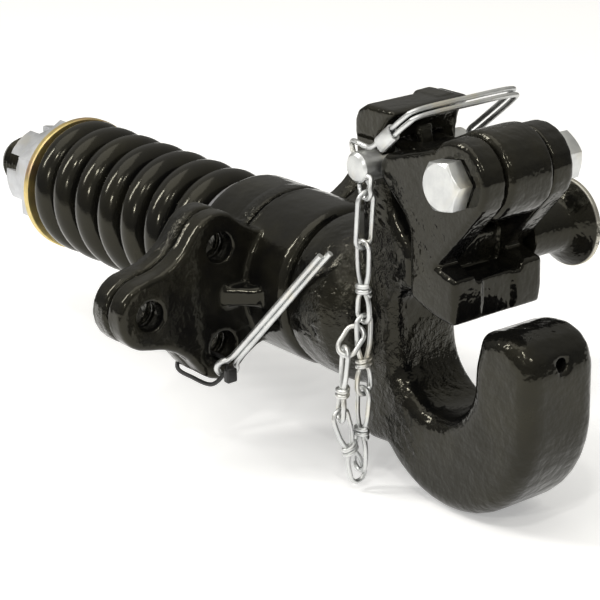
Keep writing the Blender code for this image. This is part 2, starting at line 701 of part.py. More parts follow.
def ferrule(material):
    """Return the crimp sleeve that holds the bail's two strands."""
    pivot, rise, through = bail_frame()
    centre = pivot + rise * FERRULE_UP + Vector((0, BAIL_NEAR_Y, 0))
    outer_r = BAIL_WIRE_R + FERRULE_WALL
    inner_r = BAIL_WIRE_R + GAP
    half = FERRULE_LENGTH / 2
    turn = Matrix((through, rise.cross(through), rise)).transposed().to_4x4()
    moved = Matrix.Translation(centre) @ turn

    def oval(radius):
        right = arc((BAIL_PAIR / 2, 0), radius, -90, 90, 5)
        return right + arc((-BAIL_PAIR / 2, 0), radius, 90, 270, 5)

    def sleeve(outline, low, high):
        body = bmesh.new()
        rims = [[body.verts.new((a, b, level)) for a, b in outline] for level in (low, high)]
        body.faces.new(rims[0])
        body.faces.new(rims[1])
        for i in range(len(outline)):
            j = (i + 1) % len(outline)
            body.faces.new((rims[0][i], rims[0][j], rims[1][j], rims[1][i]))
        body.transform(moved)
        return to_mesh("sleeve", body)

    return combined("bail_ferrule", sleeve(oval(outer_r), -half, half),
                    [("DIFFERENCE", sleeve(oval(inner_r), -2 * half, 2 * half))], material)


def ring_points(top, bottom, across, half_width, steps=8):
    """Return a closed oval between two end points, lying in the across direction."""
    axis = (bottom - top).normalized()
    first = top + axis * half_width
    last = bottom - axis * half_width
    points = []
    for i in range(steps + 1):
        angle = math.pi * i / steps
        points.append(first - axis * half_width * math.sin(angle) + across * half_width * math.cos(angle))
    for i in range(steps + 1):
        angle = math.pi * i / steps
        points.append(last + axis * half_width * math.sin(angle) - across * half_width * math.cos(angle))
    return points


def link_points(top, bottom, across, steps=28):
    """Return a figure-eight link between two end points, its strands apart at the waist."""
    axis = (bottom - top).normalized()
    depth = axis.cross(across)
    middle = (top + bottom) / 2
    half = (bottom - top).length / 2
    points = []
    for i in range(steps):
        angle = 2 * math.pi * i / steps
        points.append(middle - axis * half * math.cos(angle) + across * LINK_WIDTH * math.sin(2 * angle)
                      + depth * LINK_CROSSING * math.sin(angle))
    return points


def chain_eye(material):
    """Return the wire staple under the pin that carries the chain."""
    pivot, rise, through = bail_frame()
    spread = math.radians(EYE_SPREAD)
    foot = PIN_R + GAP
    knee = foot + 2 * BAIL_WIRE_R
    bottom = PIN_R + EYE_DROP
    half = [(EYE_FOOT_Y, foot * math.sin(spread), foot * math.cos(spread)),
            (EYE_FOOT_Y, knee * math.sin(spread), knee * math.cos(spread)),
            (EYE_Y, EYE_HALF, bottom - 3.5), (EYE_Y, EYE_HALF * 0.57, bottom - 0.8)]
    route = half + [(EYE_Y, 0, bottom)] + [(y, -up, depth) for y, up, depth in reversed(half)]
    knots = [pivot + Vector((0, y, 0)) + rise * up + through * depth for y, up, depth in route]
    return wire("chain_eye", smooth_path(knots, 3), BAIL_WIRE_R, material)


def chain_top():
    """Return the point in the eye where the chain's first link hangs."""
    pivot, rise, through = bail_frame()
    depth = PIN_R + EYE_DROP - BAIL_WIRE_R - LINK_WIRE_R - EYE_SLACK
    return pivot + Vector((0, EYE_Y, 0)) + through * depth


def chain_ends():
    """Return each link's end points, down the hanging run and back up the folded bight."""
    start = chain_top()
    ends = []
    top = start
    for number, (length, lean) in enumerate(zip(RUN_LENGTHS, RUN_LEANS), 1):
        down = Vector((math.sin(math.radians(lean)), 0, -math.cos(math.radians(lean))))
        bottom = top + down * length
        ends.append((top, bottom, math.radians(90 * (number % 2))))
        top = bottom - down * RUN_LAP
    for (low, high), turn in zip((BIGHT_FOLD, BIGHT_RISE, BIGHT_RING), BIGHT_TURNS):
        ends.append((start + Vector(low), start + Vector(high), math.radians(turn)))
    return ends


def chain(material):
    """Place the chain's links, each turned to let the next one through."""
    for number, (top, bottom, turn) in enumerate(chain_ends(), 1):
        axis = (bottom - top).normalized()
        across = Vector((math.cos(turn), math.sin(turn), 0))
        across = (across - axis * across.dot(axis)).normalized()
        if number in RING_LINKS:
            points = ring_points(top, bottom, across, RING_WIDTH)
        else:
            points = link_points(top, bottom, across)
        wire(f"chain_link_{number}", points, LINK_WIRE_R, material, closed=True)


def tie_loop():
    """Return the cable tie's closed route through a flange hole and round the edge."""
    hole = Vector((0, -INNER_HOLE_Y, -INNER_HOLE_Z))
    out = Vector((0, math.cos(math.radians(TIE_TURN)), math.sin(math.radians(TIE_TURN))))
    front = FLANGE_THICK + PARTING_GAP / 2
    side = front + TIE_FRONT
    back = -(front + 3.4)
    ahead = Vector((1, 0, 0))
    seat = hole + out * TIE_SEAT
    knots = [seat + ahead * (front * 0.4), seat + ahead * (front + 3), hole + ahead * side + out * 10,
             hole + ahead * side + out * (TIE_RADIAL - 8), hole + ahead * (front + 3) + out * TIE_RADIAL,
             hole + out * (TIE_RADIAL + 1), hole + ahead * back * 0.8 + out * TIE_RADIAL,
             hole + ahead * back + out * (TIE_RADIAL - 8), hole + ahead * back + out * 10,
             seat + ahead * back * 0.85, seat - ahead * (front * 0.3)]
    return knots, hole, out, side


def cable_tie(material):
    """Place the cable tie and its locking head."""
    knots, hole, out, side = tie_loop()
    wire("cable_tie", smooth_path(knots, 4, closed=True), TIE_STRAP_R, material, closed=True)
    centre = hole + Vector((side + TIE_STRAP_R + 2 * GAP + 3.0, 0, 0)) + out * (TIE_RADIAL - 9)
    size = Vector((2.2, 3.4, 4.0))
    mesh = block(tuple(centre - size), tuple(centre + size))
    item = place("tie_head", mesh, material)
    bevel = item.modifiers.new("edges", "BEVEL")
    bevel.width = 0.8 * MM
    bevel.segments = 1
    return item


def cotter_pin(material):
    """Return the spare cotter: an eye and two legs that lie side by side."""
    hole, out, side = tie_loop()[1:]
    eye = hole + Vector((side, 0, 0)) + out * 9.5
    tip = Vector((80.0, -39.0, 38.0))
    along = (tip - eye).normalized()
    eye -= along * COTTER_SEAT
    across = along.cross(out).normalized()
    apart = COTTER_LEG_R + 0.35
    neck = eye + along * (COTTER_EYE_R + 3.5)
    end = eye + along * COTTER_LENGTH
    loop = []
    for i in range(13):
        angle = math.radians(28 + (332 - 28) * i / 12)
        loop.append(eye + along * COTTER_EYE_R * math.cos(angle) + across * COTTER_EYE_R * math.sin(angle))
    points = [end + across * apart, neck + along * 40 + across * apart, neck + across * apart]
    points += loop
    points += [neck - across * apart, neck + along * 40 - across * apart, end - along * 4 - across * apart]
    return wire("cotter_pin", points, COTTER_LEG_R, material)


def put_origin(names, point):
    """Move the origin of pieces onto their joint's axis, leaving their shapes where they are."""
    shift = Vector(point) * MM
    for name in names:
        item = bpy.data.objects[name]
        item.data.transform(Matrix.Translation(-shift))
        item.location = shift


def put_origins():
    """Put each moving piece's origin on the axis that it turns about."""
    hinge = (HINGE_X, 0, HINGE_Z)
    put_origin(["latch", "latch_knob", "hinge_bolt", "hinge_nut"], hinge)
    put_origin(["lock_lever", "lock_spring"], (PIN_X, 0, PIN_Z))
    put_origin(["safety_pin", "bail_wire", "bail_ferrule"], bail_frame()[0])
    ends = chain_ends()
    put_origin(["chain_link_1"], ends[0][0])
    bend = (ends[0][1] + ends[1][0]) / 2
    put_origin([f"chain_link_{number}" for number in range(2, len(ends) + 1)], bend)


def main():
    """Build every piece."""
    clear_scene()
    enamel = (0.012, 0.012, 0.013)
    forging_black = finish("forging_black", enamel, 0.28, 0.0)
    housing_black = finish("housing_black", enamel, 0.3, 0.0)
    latch_black = finish("latch_black", enamel, 0.25, 0.0)
    lever_black = finish("lever_black", enamel, 0.27, 0.0)
    knob_black = finish("knob_black", enamel, 0.2, 0.0)
    spring_black = finish("spring_black", (0.016, 0.016, 0.017), 0.42, 0.0)
    zinc = finish("zinc", (0.62, 0.64, 0.66), 0.3, 1.0)
    yellow_zinc = finish("yellow_zinc", (0.66, 0.52, 0.25), 0.35, 1.0)
    bronze = finish("bronze", (0.55, 0.38, 0.18), 0.4, 1.0)
    steel = finish("steel", (0.35, 0.35, 0.36), 0.45, 1.0)
    nylon = finish("nylon", (0.02, 0.02, 0.02), 0.5, 0.0)

    housing("front_housing", 1, FRONT_HOUSING_LENGTH, housing_black, True)
    housing("rear_housing", -1, REAR_HOUSING_LENGTH, housing_black, False)
    bush_in = SHANK_R + GAP
    bush_out = bush_in + BUSH_WALL
    tube_ring("front_bush", PARTING_GAP, FRONT_HOUSING_LENGTH - 0.5, bush_in, bush_out, bronze)
    tube_ring("rear_bush", -REAR_HOUSING_LENGTH + 0.5, -PARTING_GAP, bush_in, bush_out, bronze)
    seat_front = shank_places()[0]
    washer_front = shank_places()[3]
    tube_ring("spring_seat_washer", seat_front - SEAT_WASHER_THICK, seat_front, bush_in, SEAT_WASHER_R, steel)
    cushion_spring(spring_black)
    washer_back = washer_front - END_WASHER_THICK
    tube_ring("end_washer", washer_back, washer_front, THREAD_R + GAP, END_WASHER_R, yellow_zinc, 0.8, 48)
    castle_nut(zinc)
    hook_body(forging_black)
    latch(latch_black)
    latch_knob(knob_black)
    hinge_bolt(zinc)
    hinge_nut(zinc)
    lock_lever(lever_black)
    lock_spring(steel)
    safety_pin(zinc)
    wire("bail_wire", smooth_path(bail_knots(), 3), BAIL_WIRE_R, zinc)
    ferrule(zinc)
    chain_eye(zinc)
    chain(zinc)
    cable_tie(nylon)
    cotter_pin(zinc)
    put_origins()


main()
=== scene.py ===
"""Looks of a spring-cushioned swivel pintle hook.

Enamelled forgings, a wound cushion spring, plated fasteners, a wire bail and a knotted chain stand on
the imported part. Lengths are in metres in the part's own frame: +X runs along the shank to the hook's
tip, +Z is up, and the origin is on the shank axis between the two flanges.
"""

import logging
import math
from dataclasses import dataclass, field
from enum import Enum
from typing import Any, Iterable, Sequence

import bpy
from mathutils import Euler, Matrix, Vector


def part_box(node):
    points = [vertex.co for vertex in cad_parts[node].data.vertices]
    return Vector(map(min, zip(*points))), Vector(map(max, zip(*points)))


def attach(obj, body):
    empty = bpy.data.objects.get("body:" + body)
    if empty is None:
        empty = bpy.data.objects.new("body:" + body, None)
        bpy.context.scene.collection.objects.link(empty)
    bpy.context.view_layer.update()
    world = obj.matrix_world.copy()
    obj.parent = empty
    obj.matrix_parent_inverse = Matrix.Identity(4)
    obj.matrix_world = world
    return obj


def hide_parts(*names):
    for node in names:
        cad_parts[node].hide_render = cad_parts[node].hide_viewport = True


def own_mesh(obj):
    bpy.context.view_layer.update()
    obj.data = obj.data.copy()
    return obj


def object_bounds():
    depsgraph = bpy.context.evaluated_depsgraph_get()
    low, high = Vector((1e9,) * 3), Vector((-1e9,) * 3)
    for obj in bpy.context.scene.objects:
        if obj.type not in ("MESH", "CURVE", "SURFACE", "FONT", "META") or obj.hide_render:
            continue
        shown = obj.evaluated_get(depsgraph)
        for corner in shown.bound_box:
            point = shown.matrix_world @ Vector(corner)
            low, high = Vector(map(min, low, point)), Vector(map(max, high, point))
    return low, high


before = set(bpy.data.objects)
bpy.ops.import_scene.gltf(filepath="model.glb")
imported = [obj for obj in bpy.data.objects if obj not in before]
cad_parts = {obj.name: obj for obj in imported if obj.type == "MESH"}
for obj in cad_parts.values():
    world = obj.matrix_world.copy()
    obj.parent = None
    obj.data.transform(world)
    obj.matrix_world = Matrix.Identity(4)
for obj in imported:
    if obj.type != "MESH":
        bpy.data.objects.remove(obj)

CAD_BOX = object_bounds()
LOG = logging.getLogger("pintle_hook")
Item = bpy.types.Object
Material = bpy.types.Material
Colour = tuple[float, float, float]
Point = tuple[float, float, float]
Range = tuple[float, float]
Route = Sequence[Vector]


def point(x: float, y: float, z: float) -> Any:
    """Return a dataclass field that starts as a new vector."""
    return field(default_factory=lambda: Vector((x, y, z)))


class Axis(Enum):
    """A direction that a turned piece is turned about."""

    X = (1.0, 0.0, 0.0)
    Y = (0.0, 1.0, 0.0)

    @property
    def vector(self) -> Vector:
        """Return the direction as a vector."""
        return Vector(self.value)

    @property
    def turn(self) -> Euler:
        """Return the rotation that takes +Z to this axis."""
        if self is Axis.X:
            return Euler((0.0, math.pi / 2, 0.0))
        return Euler((-math.pi / 2, 0.0, 0.0))


class Body(Enum):
    """The part's rigid bodies."""

    MOUNT = "mount"
    SPRING_PACK = "spring_pack"
    HOOK = "hook"
    LATCH = "latch"
    LOCK = "lock"
    BAIL = "bail"
    CHAIN_TOP = "chain_top"
    CHAIN_BIGHT = "chain_bight"


class Sock:
    """A shader socket that takes part in Python expressions."""

    def __init__(self, graph: "Graph", socket: bpy.types.NodeSocket) -> None:
        """Keep an output socket and the graph that new nodes go into."""
        self.graph = graph
        self.socket = socket

    def _math(self, operation: str, first: Any, second: Any) -> "Sock":
        """Return the result of a Math node on two sockets or numbers."""
        node = self.graph.node("ShaderNodeMath", {"operation": operation}, {0: first, 1: second})
        return Sock(self.graph, node.outputs[0])

    def __add__(self, other: Any) -> "Sock":
        """Return self + other."""
        return self._math("ADD", self, other)

    def __radd__(self, other: Any) -> "Sock":
        """Return other + self."""
        return self._math("ADD", other, self)

    def __sub__(self, other: Any) -> "Sock":
        """Return self - other."""
        return self._math("SUBTRACT", self, other)

    def __rsub__(self, other: Any) -> "Sock":
        """Return other - self."""
        return self._math("SUBTRACT", other, self)

    def __mul__(self, other: Any) -> "Sock":
        """Return self * other."""
        return self._math("MULTIPLY", self, other)

    def __rmul__(self, other: Any) -> "Sock":
        """Return other * self."""
        return self._math("MULTIPLY", other, self)

    def __pow__(self, other: Any) -> "Sock":
        """Return self to the power of other."""
        return self._math("POWER", self, other)

    def rising(self, low: float, high: float) -> "Sock":
        """Return a smooth step from 0 at low to 1 at high.

        Args:
            low: The value that gives 0.
            high: The value that gives 1.

        Returns:
            The step as a socket.
        """
        inputs = {"Value": self, "From Min": low, "From Max": high}
        node = self.graph.node("ShaderNodeMapRange", {"interpolation_type": "SMOOTHSTEP"}, inputs)
        return Sock(self.graph, node.outputs[0])

    def between(self, ends: Range) -> "Sock":
        """Return the result between two ends that the value is the share of."""
        low, high = ends
        return low + (high - low) * self


class Graph:
    """A material's node tree round one Principled shader."""

    def __init__(self, name: str) -> None:
        """Make an empty material.

        Args:
            name: The material's name.
        """
        self.material = bpy.data.materials.new(name)
        self.material.use_nodes = True
        self.tree = self.material.node_tree
        self.tree.nodes.clear()
        self.shader = self.node("ShaderNodeBsdfPrincipled")
        output = self.node("ShaderNodeOutputMaterial")
        self.tree.links.new(self.shader.outputs[0], output.inputs["Surface"])
        self.coordinates = self.node("ShaderNodeTexCoord")

    def node(self, kind: str, settings: dict[str, Any] | None = None,
             inputs: dict[Any, Any] | None = None) -> bpy.types.Node:
        """Add a node, set it up and connect it.

        Args:
            kind: The node's type.
            settings: Attributes that are set first.
            inputs: Sockets by name or number, with a value or a link for each.

        Returns:
            The new node.
        """
        made = self.tree.nodes.new(kind)
        for key, value in (settings or {}).items():
            setattr(made, key, value)
        for key, value in (inputs or {}).items():
            if isinstance(value, Sock):
                self.tree.links.new(value.socket, made.inputs[key])
            else:
                made.inputs[key].default_value = value
        return made

    def place(self) -> Sock:
        """Return the point on the piece in the part's frame."""
        return Sock(self, self.coordinates.outputs["Object"])

    def axes(self) -> tuple[Sock, Sock, Sock]:
        """Return the point's X, Y and Z."""
        node = self.node("ShaderNodeSeparateXYZ", None, {0: self.place()})
        return tuple(Sock(self, output) for output in node.outputs)

    def noise(self, size: float, detail: float = 3.0, rough: float = 0.5) -> Sock:
        """Return fractal noise.

        Args:
            size: The size of its largest features in metres.
            detail: How many finer layers it has.
            rough: How strong the finer layers are.

        Returns:
            The noise, about 0.5 on average.
        """
        inputs = {"Vector": self.place(), "Scale": 1.0 / size, "Detail": detail, "Roughness": rough}
        node = self.node("ShaderNodeTexNoise", None, inputs)
        return Sock(self, node.outputs[0])

    def mixed(self, share: Sock, first: Any, second: Any) -> Sock:
        """Mix two colours.

        Args:
            share: The share of the second colour.
            first: A colour or a socket.
            second: A colour or a socket.

        Returns:
            The mixed colour.
        """
        ends = [value if isinstance(value, Sock) else (*value, 1.0) for value in (first, second)]
        node = self.node("ShaderNodeMix", {"data_type": "RGBA"}, {0: share, 6: ends[0], 7: ends[1]})
        return Sock(self, node.outputs[2])

    def seen(self) -> Sock:
        """Return 1 for rays from the camera or off a mirror or glass, and 0 for the light's own."""
        path = self.node("ShaderNodeLightPath")
        camera, mirror, glass = (Sock(self, path.outputs[f"Is {kind} Ray"])
                                 for kind in ("Camera", "Glossy", "Transmission"))
        return camera + mirror + glass

    def bumped(self, height: Sock) -> Sock:
        """Return a normal from a height over the surface in metres."""
        node = self.node("ShaderNodeBump", None, {"Strength": 1.0, "Distance": 1.0, "Height": height})
        return Sock(self, node.outputs[0])

    def feed(self, **inputs: Any) -> None:
        """Set or link the shader's sockets, with underscores for spaces.

        Args:
            **inputs: A value or a link for each socket.
        """
        for key, value in inputs.items():
            socket = self.shader.inputs[key.replace("_", " ").title()]
            if isinstance(value, Sock):
                self.tree.links.new(value.socket, socket)
            else:
                socket.default_value = value


@dataclass(frozen=True)
class Enamel:
    """Thick black enamel over a forging or a casting."""

    name: str
    colour: Colour = (0.0042, 0.0042, 0.0044)
    dusty: Colour = (0.0120, 0.0112, 0.0080)
    dust_size: float = 0.030
    dust_detail: float = 5.0
    dust_rough: float = 0.62
    dust_range: Range = (0.40, 0.72)
    shine: float = 0.35
    sheen_tint: Colour = (1.0, 0.955, 0.76)
    lump_size: float = 0.0120
    lump_depth: float = 0.00085
    peel_size: float = 0.0032
    peel_depth: float = 0.00032
    gloss: Range = (0.06, 0.20)
    coarse_from: float | None = None
    coarse_to: float = 0.0
    coarse_edge: float = 0.15
    coarse_size: float = 0.0040
    coarse_depth: float = 0.00130
    patch_size: float = 0.022
    patch_range: Range = (0.36, 0.56)

    def height(self, graph: Graph) -> Sock:
        """Return the enamel's relief.

        Args:
            graph: The material's graph.

        Returns:
            The height in metres.
        """
        lumps = graph.noise(self.lump_size, detail=2.0, rough=0.45)
        peel = graph.noise(self.peel_size, detail=1.0)
        height = lumps * self.lump_depth + peel * self.peel_depth
        if self.coarse_from is None:
            return height
        along = graph.axes()[0]
        edge = self.coarse_edge * (self.coarse_to - self.coarse_from)
        zone = along.rising(self.coarse_from - edge, self.coarse_from + edge)
        zone = zone * (1 - along.rising(self.coarse_to - edge, self.coarse_to + edge))
        patches = graph.noise(self.patch_size, detail=2.0).rising(*self.patch_range)
        scale = graph.noise(self.coarse_size, detail=3.0, rough=0.62)
        return height + scale * self.coarse_depth * zone * patches

    def coat(self, graph: Graph) -> tuple[Sock, Sock]:
        """Give the shader the enamel's relief and sheen.

        Args:
            graph: The material's graph.

        Returns:
            The enamel's colour and its roughness.
        """
        dust = graph.noise(self.dust_size, self.dust_detail, self.dust_rough)
        graph.feed(normal=graph.bumped(self.height(graph)), specular_tint=(*self.sheen_tint, 1.0))
        graph.shader.inputs["Specular IOR Level"].default_value = self.shine
        return graph.mixed(dust.rising(*self.dust_range), self.colour, self.dusty), dust.between(self.gloss)

    def material(self) -> Material:
        """Return the enamel as a material."""
        graph = Graph(self.name)
        colour, rough = self.coat(graph)
        graph.feed(base_color=colour, roughness=rough)
        return graph.material


@dataclass(frozen=True)
class WornEnamel(Enamel):
    """Enamel that is rubbed through to steel on the rim of a knob turned about Y."""

    dust_detail: float = 4.0
    dust_rough: float = 0.5
    centre_x: float = 0.0
    centre_z: float = 0.0
    rim: float = 0.0
    rim_band: Range = (0.0007, 0.0001)
    worn_size: float = 0.006
    worn_range: Range = (0.32, 0.46)
    steel: Colour = (0.52, 0.50, 0.44)
    steel_rough: float = 0.2

    def material(self) -> Material:
        """Return the worn enamel as a material."""
        graph = Graph(self.name)
        across, _, up = graph.axes()
        reach = ((across - self.centre_x) ** 2 + (up - self.centre_z) ** 2) ** 0.5
        patches = graph.noise(self.worn_size, detail=3.0, rough=0.6)
        inner, outer = self.rim_band
        worn = reach.rising(self.rim - inner, self.rim - outer) * patches.rising(*self.worn_range)
        colour, rough = self.coat(graph)
        graph.feed(base_color=graph.mixed(worn, colour, self.steel), metallic=worn,
                   roughness=rough + worn * self.steel_rough)
        return graph.material


@dataclass(frozen=True)
class Plating:
    """Plated or plain bare metal with drifting tone and a fine grain."""

    name: str
    colour: Colour = (0.73, 0.74, 0.73)
    shade: Colour = (0.60, 0.61, 0.61)
    tint: Colour = (0.74, 0.71, 0.62)
    rough: Range = (0.30, 0.50)
    drift_size: float = 0.010
    drift_lift: float = 4.0
    shade_range: Range = (0.35, 0.68)
    stain_spread: float = 2.6
    stain_range: Range = (0.52, 0.74)
    grain_size: float = 0.0006
    grain_depth: float = 0.000012

    def material(self) -> Material:
        """Return the plated metal as a material."""
        graph = Graph(self.name)
        drift = graph.noise(self.drift_size, detail=4.0, rough=0.6)
        stain = graph.noise(self.drift_size * self.stain_spread, detail=3.0, rough=0.6)
        grain = graph.noise(self.grain_size, detail=2.0)
        plain = graph.mixed(drift.rising(*self.shade_range), self.shade, self.colour)
        height = grain * self.grain_depth + drift * self.grain_depth * self.drift_lift
        graph.feed(base_color=graph.mixed(stain.rising(*self.stain_range), plain, self.tint), metallic=1.0,
                   roughness=drift.between(self.rough), normal=graph.bumped(height))
        return graph.material


@dataclass(frozen=True)
class Nylon:
    """Moulded black nylon."""

    name: str
    colour: Colour = (0.012, 0.012, 0.012)
    bloom: Colour = (0.030, 0.030, 0.029)
    bloom_size: float = 0.004
    bloom_range: Range = (0.4, 0.75)
    rough: Range = (0.34, 0.54)
    grain_size: float = 0.0005
    grain_depth: float = 0.00001

    def material(self) -> Material:
        """Return the nylon as a material."""
        graph = Graph(self.name)
        bloom = graph.noise(self.bloom_size, detail=4.0, rough=0.6)
        grain = graph.noise(self.grain_size, detail=1.0)
        graph.feed(base_color=graph.mixed(bloom.rising(*self.bloom_range), self.colour, self.bloom),
                   roughness=bloom.between(self.rough), normal=graph.bumped(grain * self.grain_depth))
        return graph.material


class Hand:
    """The modelling steps that come back on every piece."""

    MERGE = 0.00001
    WIRE_MERGE = 0.000001
    SMOOTH_ANGLE = 32.0
    SOFT_ANGLE = 60.0
    WIRE_ANGLE = 50.0
    FLAT_ANGLE = 1.0
    EDGE_ANGLE = 34.0

    @staticmethod
    def pick(item: Item) -> None:
        """Make one object the only selected and active one."""
        bpy.ops.object.select_all(action="DESELECT")
        item.select_set(True)
        bpy.context.view_layer.objects.active = item

    @staticmethod
    def edit(item: Item) -> None:
        """Open an object in edit mode with all of its mesh selected."""
        Hand.pick(item)
        bpy.ops.object.mode_set(mode="EDIT")
        bpy.ops.mesh.select_all(action="SELECT")

    @staticmethod
    def close() -> None:
        """Leave edit mode."""
        bpy.ops.object.mode_set(mode="OBJECT")

    @staticmethod
    def apply(item: Item, kind: str, **settings: Any) -> None:
        """Add a modifier and apply it.

        Args:
            item: The object.
            kind: The modifier's type.
            **settings: The modifier's attributes.
        """
        Hand.pick(item)
        modifier = item.modifiers.new(kind.lower(), kind)
        for key, value in settings.items():
            setattr(modifier, key, value)
        bpy.ops.object.modifier_apply(modifier=modifier.name)

    @staticmethod
    def shade(item: Item, degrees: float = SMOOTH_ANGLE) -> None:
        """Shade an object smooth, apart from edges over an angle."""
        Hand.pick(item)
        bpy.ops.object.shade_smooth_by_angle(angle=math.radians(degrees))

    @staticmethod
    def copy_of(node: str, name: str) -> Item:
        """Copy a solid of the part into a new object with its corners merged.

        Args:
            node: The solid's node.
            name: The new object's name.

        Returns:
            The copy.
        """
        item = bpy.data.objects.new(name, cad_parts[node].data.copy())
        bpy.context.scene.collection.objects.link(item)
        Hand.edit(item)
        bpy.ops.mesh.remove_doubles(threshold=Hand.MERGE)
        Hand.close()
        bpy.ops.mesh.customdata_custom_splitnormals_clear()
        return item

    @staticmethod
    def bevel(item: Item, width: float, degrees: float) -> None:
        """Bevel the edges of an object that are sharper than an angle."""
        Hand.apply(item, "BEVEL", width=width, segments=2, limit_method="ANGLE",
                   angle_limit=math.radians(degrees))

    @staticmethod
    def softened(node: str, name: str, grain: float, rounds: int) -> Item:
        """Copy a forging with every edge and root rounded, as hammering and thick enamel do.

        Args:
            node: The solid's node.
            name: The new object's name.
            grain: The size of its new faces in metres.
            rounds: How often it is smoothed.

        Returns:
            The softened copy.
        """
        item = Hand.copy_of(node, name)
        Hand.apply(item, "REMESH", mode="VOXEL", voxel_size=grain)
        Hand.apply(item, "SMOOTH", factor=0.5, iterations=rounds)
        Hand.shade(item, Hand.SOFT_ANGLE)
        return item

    @staticmethod
    def eased(node: str, name: str, width: float) -> Item:
        """Copy a machined piece with its sharp edges broken.

        Args:
            node: The solid's node.
            name: The new object's name.
            width: The width of the broken edge.

        Returns:
            The eased copy.
        """
        item = Hand.copy_of(node, name)
        Hand.edit(item)
        bpy.ops.mesh.dissolve_limited(angle_limit=math.radians(Hand.FLAT_ANGLE))
        Hand.close()
        Hand.bevel(item, width, Hand.EDGE_ANGLE)
        Hand.shade(item)
        return item

    @staticmethod
    def turned(name: str, profile: Sequence[tuple[float, float]], centre: Vector, axis: Axis,
               sides: int = 96, bored: bool = False) -> Item:
        """Draw a round piece out of a circle, step by step.

        Args:
            name: The object's name.
            profile: The place along the axis and the radius at each step.
            centre: A point on the axis that the places count from.
            axis: The axis.
            sides: How many sides its circles have.
            bored: Whether the profile is a closed ring and leaves a bore.

        Returns:
            The new object.
        """
        along = axis.vector
        bpy.ops.object.select_all(action="DESELECT")
        bpy.ops.mesh.primitive_circle_add(
            vertices=sides, radius=profile[0][1], fill_type="NOTHING" if bored else "NGON",
            location=centre + along * profile[0][0], rotation=axis.turn)
        item = bpy.context.object
        item.name = name
        bpy.ops.object.transform_apply(location=True, rotation=True, scale=True)
        Hand.edit(item)
        bpy.ops.mesh.select_mode(type="EDGE" if bored else "FACE")
        extrude = bpy.ops.mesh.extrude_edges_move if bored else bpy.ops.mesh.extrude_region_move
        for (here, radius), (there, wider) in zip(profile, profile[1:]):
            extrude(TRANSFORM_OT_translate={"value": along * (there - here)})
            ratio = wider / radius
            bpy.ops.transform.resize(value=(ratio, ratio, ratio), center_override=centre + along * there)
        if bored:
            bpy.ops.mesh.select_all(action="DESELECT")
            bpy.ops.mesh.select_non_manifold()
            bpy.ops.mesh.bridge_edge_loops()
        bpy.ops.mesh.select_all(action="SELECT")
        bpy.ops.mesh.normals_make_consistent(inside=False)
        Hand.close()
        Hand.shade(item)
        return item

    @staticmethod
    def hexagon(name: str, flats: float, low: float, high: float, centre: Vector, axis: Axis,
                turn: float) -> Item:
        """Make a hexagon bar.

        Args:
            name: The object's name.
            flats: The width across flats.
            low: Where it starts along the axis.
            high: Where it ends.
            centre: A point on the axis.
            axis: The axis.
            turn: The angle of a corner in degrees.

        Returns:
            The new object.
        """
        bpy.ops.object.select_all(action="DESELECT")
        bpy.ops.mesh.primitive_cylinder_add(vertices=6, radius=flats / math.sqrt(3.0), depth=high - low)
        item = bpy.context.object
        item.name = name
        spot = Matrix.Translation(centre + axis.vector * (low + high) / 2)
        item.data.transform(spot @ axis.turn.to_matrix().to_4x4()
                            @ Matrix.Rotation(math.radians(30.0 - turn), 4, "Z"))
        return item

    @staticmethod
    def meet(item: Item, other: Item, operation: str) -> None:
        """Combine an object with another by a boolean, which uses up the other."""
        Hand.apply(item, "BOOLEAN", object=other, operation=operation, solver="EXACT")
        bpy.data.objects.remove(other, do_unlink=True)

    @staticmethod
    def wire(name: str, routes: Iterable[Route], radius: float, closed: bool = False,
             detail: int = 3) -> Item:
        """Draw round wire along routes as one mesh.

        Args:
            name: The object's name.
            routes: The points of each run.
            radius: The wire's radius.
            closed: Whether each run closes on itself.
            detail: How round its section is.

        Returns:
            The new object.
        """
        curve = bpy.data.curves.new(name, "CURVE")
        curve.dimensions = "3D"
        curve.bevel_depth = radius
        curve.bevel_resolution = detail
        curve.use_fill_caps = not closed
        for route in routes:
            spline = curve.splines.new("POLY")
            spline.points.add(len(route) - 1)
            for knot, spot in zip(spline.points, route):
                knot.co = (*spot, 1.0)
            spline.use_cyclic_u = closed
        item = bpy.data.objects.new(name, curve)
        bpy.context.scene.collection.objects.link(item)
        Hand.pick(item)
        bpy.ops.object.convert(target="MESH")
        item = bpy.context.object
        Hand.edit(item)
        bpy.ops.mesh.remove_doubles(threshold=Hand.WIRE_MERGE)
        bpy.ops.mesh.normals_make_consistent(inside=False)
        Hand.close()
        Hand.shade(item, Hand.WIRE_ANGLE)
        return item

    @staticmethod
    def settle(item: Item, body: Body, slot: str, material: Material,
               *nodes: str) -> None:
        """Dress a piece, put it on its body and hide the solids that it stands for.

        Args:
            item: The piece.
            body: The body that it moves with.
            slot: Not used.
            material: Its material.
            *nodes: The nodes that it replaces.
        """
        item.data.materials.clear()
        item.data.materials.append(material)
        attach(item, body.value)
        if nodes:
            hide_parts(*nodes)
        LOG.info("%s rides on %s, %d faces", item.name, body.value, len(item.data.polygons))

    @staticmethod
    def dress(node: str, material: Material) -> None:
        """Give a solid of the part a finished material."""
        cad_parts[node].material_slots[0].material = material
        LOG.info("%s is dressed", node)


